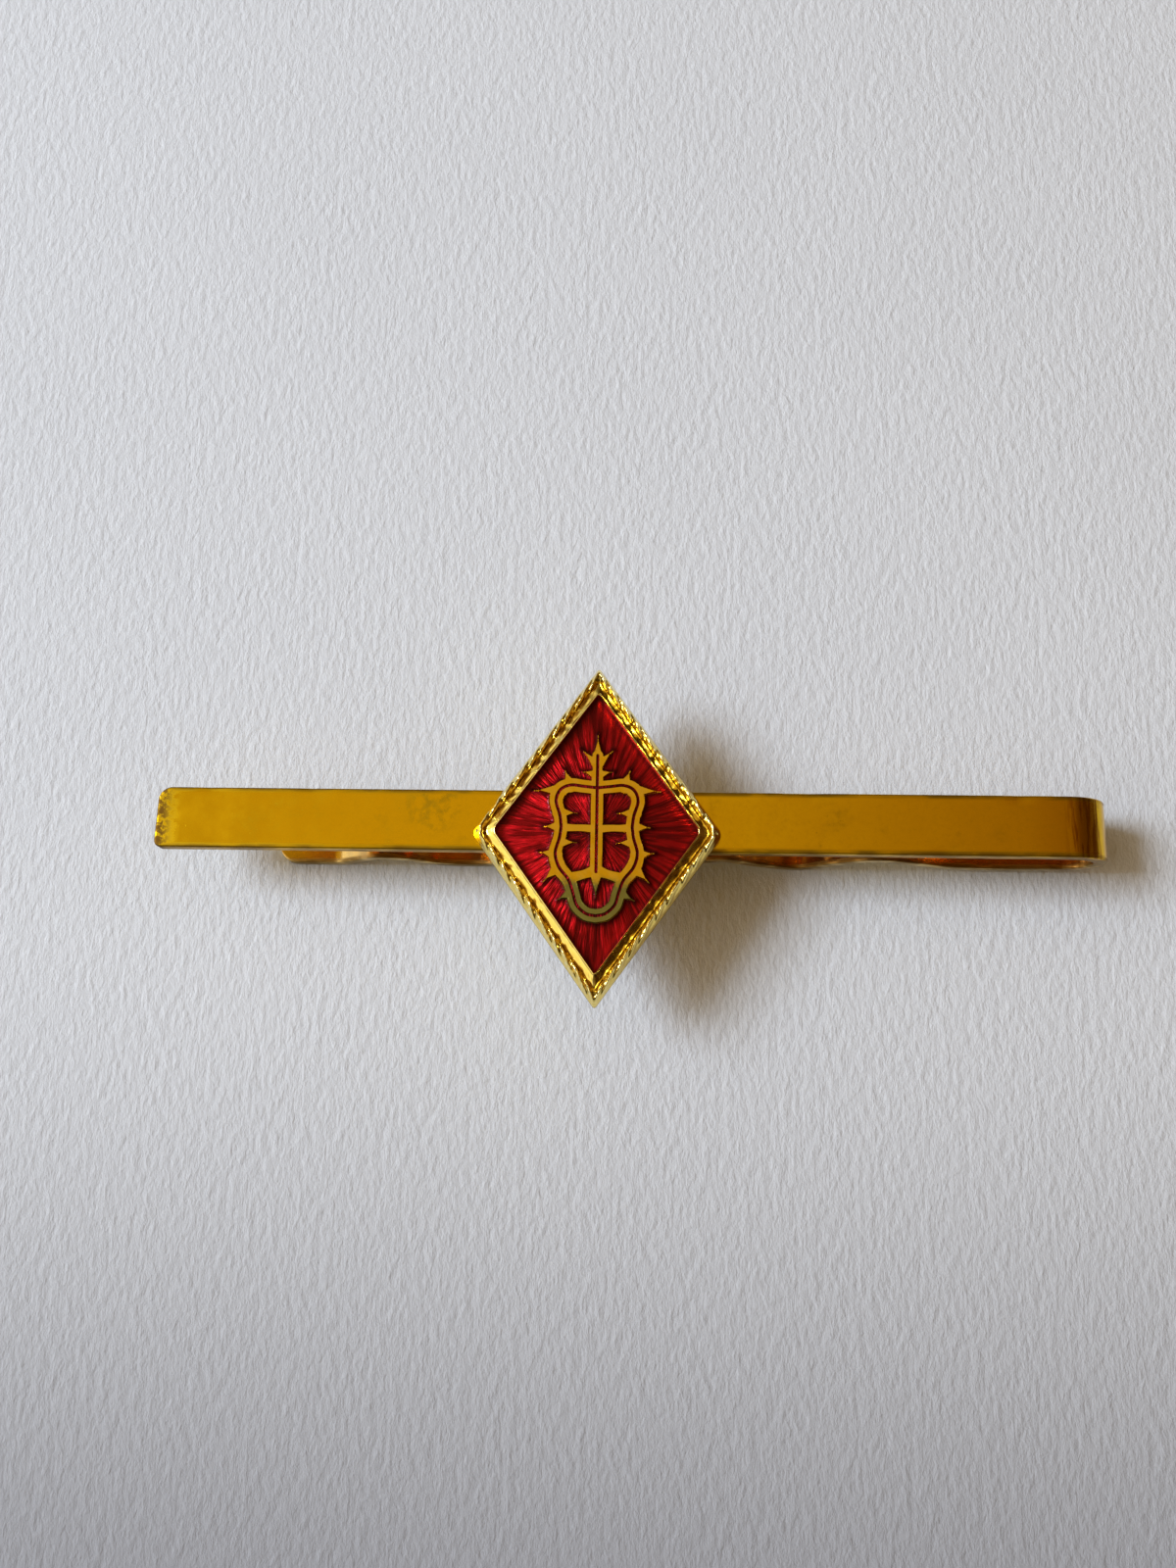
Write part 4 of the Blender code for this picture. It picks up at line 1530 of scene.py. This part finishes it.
@dataclass
class EnamelFill(SubAssembly):
    """The enamel: a field round the ornament, cells in its openings, and lines in its channels."""

    design: StrapDesign
    diamond: Diamond
    finish: bpy.types.Material
    rays: int = 88
    ray_height: float = 0.009
    meniscus: float = 0.05
    overlap: float = 0.02
    sag: float = 0.02
    dome: float = 0.10
    line_drop: float = 0.07
    line_depth: float = 0.12

    def top_height(self, x: np.ndarray, y: np.ndarray) -> np.ndarray:
        """Work out the enamel's surface, which climbs the metal walls and follows the rays beneath.

        Args:
            x: places about the emblem's centre.
            y: places about the emblem's centre.

        Returns:
            The height at each place.
        """
        wall = np.minimum(self.design.gold(x, y), self.diamond.inside(x, y, self.diamond.field_ratio))
        wall = np.maximum(wall, 0.0)
        climb = self.meniscus * np.exp(-wall / 0.10)
        reach = np.hypot(x, y)
        turn = np.arctan2(y, x)
        uneven = 0.75 + 0.25 * np.sin(turn * 13 + 1.7) * np.sin(turn * 7)
        ribs = self.ray_height * uneven * np.cos(turn * self.rays) * smoothstep(reach, 0.8, 3.5)
        sunk = self.sag * smoothstep(wall, 0.0, 0.5)
        middle = self.diamond.inside(x, y, self.diamond.field_ratio) / self.diamond.inside(
            np.zeros(1), np.zeros(1), self.diamond.field_ratio)
        fall = self.dome * (1 - np.clip(middle, 0.0, 1.0)) ** 2
        return self.diamond.enamel_top + climb - sunk - fall + ribs * smoothstep(wall, 0.0, 0.2)

    def ray_points(self) -> np.ndarray:
        """Choose where the rays are measured.

        Returns:
            Places along the rays' crests, flanks and hollows.
        """
        turns = np.arange(self.rays * 4) / (self.rays * 4) * 2 * math.pi
        rings = []
        for count, reach in enumerate(np.arange(0.5, self.diamond.half_height, 0.13)):
            chosen = turns if reach > 2.5 else turns[::3]
            shift = (count % 2) * 0.4 * math.pi / len(turns)
            rings.append(np.column_stack([reach * np.cos(chosen + shift), reach * np.sin(chosen + shift)]))
        return np.vstack(rings)

    def build(self) -> list[bpy.types.Object]:
        """Make the field first, then the cells, then the channel lines.

        Returns:
            The pieces in that order.
        """
        silhouette, *cells = self.design.trace(self.design.gold, -self.overlap)
        rim = self.diamond.outline(90) * (self.diamond.field_ratio + 0.01)
        points = self.ray_points()
        outside = self.design.gold(points[:, 0], points[:, 1])
        points = points[(outside > 0.0) & (self.diamond.inside(*points.T, self.diamond.field_ratio) > 0.0)]
        inner = np.vstack([points, self.wall_rows()])
        pieces = [self.filled("enamel_ground", [rim, silhouette], inner)]
        for number, cell in enumerate(cells, start=1):
            low, high = cell.min(axis=0), cell.max(axis=0)
            chosen = inner[np.all((inner > low) & (inner < high), axis=1)]
            pieces.append(self.filled(f"enamel_pane_{number}", [cell], chosen))
        for piece in pieces:
            self.note_walls(piece)
        for number, line in enumerate(self.channel_lines(), start=1):
            pieces.append(self.channel_piece(number, line))
        return pieces

    def filled(self, name: str, outlines: list[Outline], inner: np.ndarray) -> bpy.types.Object:
        """Return one body of enamel inside its outlines, on the emblem's floor."""
        return relief_solid(name, outlines, inner, self.top_height, self.diamond.seat,
                            self.diamond.centre, self.finish)

    def wall_rows(self) -> np.ndarray:
        """Choose where the climbing edge is measured.

        Returns:
            Rows of places just clear of the metal.
        """
        rows = []
        for level in (0.03, 0.08, 0.15):
            rows += self.design.trace(self.design.gold, level)
            rows.append(self.diamond.outline(200) * (self.diamond.field_ratio - level / 4.2))
        points = np.vstack(rows)
        return points[self.design.gold(*points.T) > 0.02]

    def channel_lines(self) -> list[list[Outline]]:
        """Trace the channels.

        Returns:
            Each channel's outline, with the outlines of any islands of metal inside it.
        """
        loops = self.design.trace(self.design.channel, 0.03)
        outer = [loop for loop in loops if self.turns_left(loop)]
        islands = [loop for loop in loops if not self.turns_left(loop)]
        grouped = []
        for line in outer:
            low, high = line.min(axis=0), line.max(axis=0)
            held = [loop for loop in islands if np.all((loop.min(axis=0) > low) & (loop.max(axis=0) < high))]
            grouped.append([line, *held])
        return grouped

    def note_walls(self, piece: bpy.types.Object) -> None:
        """Store each point's distance from the nearest metal wall, for the finish to read.

        Args:
            piece: the enamel to mark.
        """
        count = len(piece.data.vertices)
        places = np.empty(count * 3)
        piece.data.vertices.foreach_get("co", places)
        x, y, _ = places.reshape(-1, 3).T / MM - self.diamond.centre[:, None]
        wall = np.minimum(self.design.gold(x, y), self.diamond.inside(x, y, self.diamond.field_ratio))
        stored = piece.data.attributes.new(WALL_DISTANCE, "FLOAT", "POINT")
        stored.data.foreach_set("value", np.maximum(wall, 0.0))

    @staticmethod
    def turns_left(loop: Outline) -> bool:
        """Return True if a closed line runs anticlockwise."""
        x, y = loop.T
        return float(np.sum(x * np.roll(y, -1) - y * np.roll(x, -1))) > 0

    def channel_piece(self, number: int, outlines: list[Outline]) -> bpy.types.Object:
        """Make the enamel line that fills one channel, a little below the metal's top.

        Args:
            number: the line's number.
            outlines: the channel's outline and its islands.

        Returns:
            The line.
        """
        level = self.diamond.ornament_top - self.line_drop
        inner = np.vstack(self.design.trace(self.design.channel, -0.04))

        def surface(x: np.ndarray, y: np.ndarray) -> np.ndarray:
            """Return the line's surface, hollow along its middle."""
            return level - self.sag * (1 - smoothstep(self.design.channel(x, y), -0.06, 0.0))

        return relief_solid(f"enamel_line_{number}", outlines, inner, surface, level - self.line_depth,
                            self.diamond.centre, self.finish)

    def dress(self, pieces: list[bpy.types.Object]) -> None:
        """Fix the enamel to the bar.

        Args:
            pieces: the field, the cells and the channel lines, in that order.
        """
        for piece in pieces:
            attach(piece, Body.BAR.value)
        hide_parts("enamel_field")
        panes = [piece for piece in pieces if piece.name.startswith("enamel_pane")]
        for number, piece in enumerate(panes, start=1):
            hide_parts(f"enamel_cell_{number}")


@dataclass
class SolderSeam(SubAssembly):
    """One solder fillet in the corner between the bar's edge and the emblem's back."""

    node: str
    side: Side
    finish: bpy.types.Material
    rows: int = 90

    def build(self) -> bpy.types.Object:
        """Sweep a hollow fillet along the bar's edge, lumpy and run out at its ends.

        Returns:
            The fillet.
        """
        low, high = node_box(self.node)
        xs = np.linspace(low[0], high[0], self.rows)
        wall = low[1] if self.side is Side.REAR else high[1]
        reach = high[1] - low[1]
        side = self.side.value
        rings = []
        for x in xs:
            gone = min(x - low[0], high[0] - x)
            lumps = 0.82 + 0.12 * math.sin(2.1 * x) + 0.06 * math.sin(5.3 * x + 1.0)
            size = reach * lumps * math.sqrt(min(1.0, gone / 0.7) + 0.02)
            turns = np.linspace(0.0, math.pi / 2, 7)
            hollow = [(size - 0.72 * size * math.sin(a), -size + 0.72 * size * math.cos(a)) for a in turns]
            edge = [(0.0, 0.0), (size, 0.0), *hollow[1:-1], (0.0, -size)]
            rings.append(np.array([(x, wall + side * out, high[2] + down) for out, down in edge]))
        return swept_piece(f"{self.node}_fillet", rings, self.finish)

    def dress(self, piece: bpy.types.Object) -> None:
        """Fix the fillet to the bar."""
        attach(piece, Body.BAR.value)
        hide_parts(self.node)


# ------------------------------------------------------------------ the studio


@dataclass
class Studio:
    """A pale floor, a soft light from the left, a quiet surround, and the camera."""

    focal_length: float = 31.5
    distance: float = 88.51
    aim: Point = (2.794, -2.415)
    tilt: float = -14.07
    yaw: float = -1.67
    roll: float = -0.584
    light_elevation: float = 42.0
    light_turn: float = 10.0
    light_distance: float = 900.0
    light_size: Point = (320.0, 320.0)
    light_power: float = 7.65
    light_colour: Triple = (0.73, 0.855, 1.02)
    floor_size: float = 3000.0
    surround: tuple[tuple[float, Triple], ...] = (
        (-1.0, (1.62, 1.48, 1.27)), (-0.65, (1.52, 1.38, 1.14)), (-0.48, (0.66, 0.56, 0.41)),
        (-0.34, (0.455, 0.31, 0.14)), (-0.24, (0.565, 0.40, 0.18)), (-0.12, (0.615, 0.44, 0.21)),
        (0.08, (0.53, 0.395, 0.20)), (0.13, (0.455, 0.31, 0.14)), (0.19, (0.385, 0.24, 0.10)),
        (0.25, (0.365, 0.215, 0.08)), (0.30, (0.28, 0.145, 0.05)), (0.40, (0.21, 0.095, 0.025)),
        (0.55, (0.10, 0.038, 0.008)), (0.80, (0.07, 0.028, 0.006)), (1.0, (0.16, 0.08, 0.025)),
    )

    def floor(self) -> None:
        """Lay the floor at the height that the clasp rests on."""
        half = self.floor_size / 2
        points = np.array([(-half, -half, 0.0), (half, -half, 0.0), (half, half, 0.0), (-half, half, 0.0)])
        board = add_piece("floor", points, [(0, 1, 2, 3)], PaleBoard().material())

    def world(self) -> None:
        """Surround the object with soft light that fades from the left to the right."""
        world = bpy.data.worlds.new("surround")
        bpy.context.scene.world = world
        world.use_nodes = True
        sketch = NodeSketch(world.node_tree)
        background = world.node_tree.nodes["Background"]
        x, y, z = sketch.split(sketch.add("ShaderNodeTexCoord").outputs["Generated"])
        ramp = sketch.add("ShaderNodeValToRGB")
        ramp.color_ramp.interpolation = "LINEAR"
        stops = ramp.color_ramp.elements
        while len(stops) < len(self.surround):
            stops.new(0.5)
        for stop, (place, level) in zip(stops, self.surround):
            stop.position = (place + 1) / 2
            stop.color = (*level, 1.0)
        sketch.feed(sketch.math("MULTIPLY_ADD", x, 0.5, 0.5), ramp.inputs[0])
        overhead = sketch.remap(z, 0.05, 0.7, 0.0, 1.0)
        front = sketch.remap(y, -0.75, -0.15, 0.12, 1.0)
        rear = sketch.remap(y, 0.5, 0.9, 1.0, 0.2)
        shade = sketch.times(front, sketch.math("MULTIPLY_ADD", overhead, 0.35, 0.65))
        shade = sketch.times(rear, shade)
        window = sketch.remap(x, -0.65, -0.45, 0.78, 0.0)
        above = sketch.remap(z, 0.1, 0.35)
        shade = sketch.larger(shade, sketch.times(window, above))
        lit = sketch.mix(1.0, ramp.outputs[0], shade)
        lit.node.blend_type = "MULTIPLY"
        eye = sketch.add("ShaderNodeLightPath").outputs["Is Camera Ray"]
        sketch.feed(sketch.mix(eye, lit, (0.62, 0.63, 0.65, 1.0)), background.inputs["Color"])
        background.inputs["Strength"].default_value = 1.0

    def key_light(self) -> None:
        """Place the soft light on the left."""
        lamp = bpy.data.lights.new("window_light", "AREA")
        lamp.shape = "RECTANGLE"
        lamp.size, lamp.size_y = (side * MM for side in self.light_size)
        lamp.energy = self.light_power
        lamp.color = self.light_colour
        rise, turn = math.radians(self.light_elevation), math.radians(self.light_turn)
        towards = (-math.cos(rise) * math.cos(turn), math.cos(rise) * math.sin(turn), math.sin(rise))
        place = Vector(towards) * self.light_distance * MM
        light = bpy.data.objects.new("window_light", lamp)
        light.location = place
        light.rotation_euler = place.to_track_quat("Z", "Y").to_euler()
        bpy.context.scene.collection.objects.link(light)

    def camera(self, bar_middle: np.ndarray) -> None:
        """Place the camera above and a little in front of the bar.

        Args:
            bar_middle: the middle of the bar's top face, in millimetres.
        """
        turn = Matrix.Rotation(math.radians(self.roll), 3, "Z")
        turn = turn @ Matrix.Rotation(math.radians(self.yaw), 3, "Y")
        turn = turn @ Matrix.Rotation(math.radians(self.tilt), 3, "X")
        facing = turn.transposed()
        offset = facing @ Vector((-self.aim[0], -self.aim[1], self.distance))
        lens = bpy.data.cameras.new("camera")
        lens.lens = self.focal_length
        lens.sensor_width = 36.0
        lens.clip_start = 0.002
        lens.clip_end = 20.0
        camera = bpy.data.objects.new("camera", lens)
        camera.matrix_world = Matrix.Translation((Vector(bar_middle) + offset) * MM) @ facing.to_4x4()
        bpy.context.scene.collection.objects.link(camera)
        bpy.context.scene.camera = camera

    def build(self, bar_middle: np.ndarray) -> None:
        """Set up the whole studio.

        Args:
            bar_middle: the middle of the bar's top face, in millimetres.
        """
        bpy.context.scene.view_settings.view_transform = "Standard"
        self.floor()
        self.world()
        self.key_light()
        self.camera(bar_middle)


def main() -> None:
    """Build every piece in order, and report each one."""
    logging.basicConfig(level=logging.INFO, format="%(message)s")
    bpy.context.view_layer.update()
    effects = Effects(tarnish_group(), hairline_group(), hollow_group(), sunburst_group())

    diamond = Diamond()
    design = StrapDesign()
    strip = ClaspStrip(StripGold().material(effects))
    plain = CarvedGold(name="stamped_back_gold", colour=(0.80, 0.42, 0.03, 1.0), roughness=0.3)
    # The ornament gets a weaker painted highlight and painted shade than the border.
    satin = CarvedGold(name="ornament_satin_gold", colour=(0.84, 0.49, 0.012, 1.0),
                       highlit_crests=(0.95, 0.72, 0.16, 1.0), roughness=0.24, hollow_shade=0.6,
                       verdigris_below=-3.2, pitting=0.1, crest_highlight=0.15)
    middle = (float(diamond.centre[0]), float(diamond.centre[1]), 0.0)
    solder = DullSolder().material(effects)
    parts: tuple[SubAssembly, ...] = (
        strip,
        CarvedBorder(diamond, CarvedGold().material(effects)),
        EmblemBack(diamond, plain.material(effects)),
        StrapOrnament(design, diamond, satin.material(effects)),
        EnamelFill(design, diamond, RedEnamel(middle).material(effects)),
        SolderSeam("solder_front", Side.FRONT, solder),
        SolderSeam("solder_rear", Side.REAR, solder),
    )
    for part in parts:
        part.make()

    bar_middle = np.array((0.0, strip.middle_y, strip.top))
    Studio().build(bar_middle)


if __name__ == "__main__":
    main()
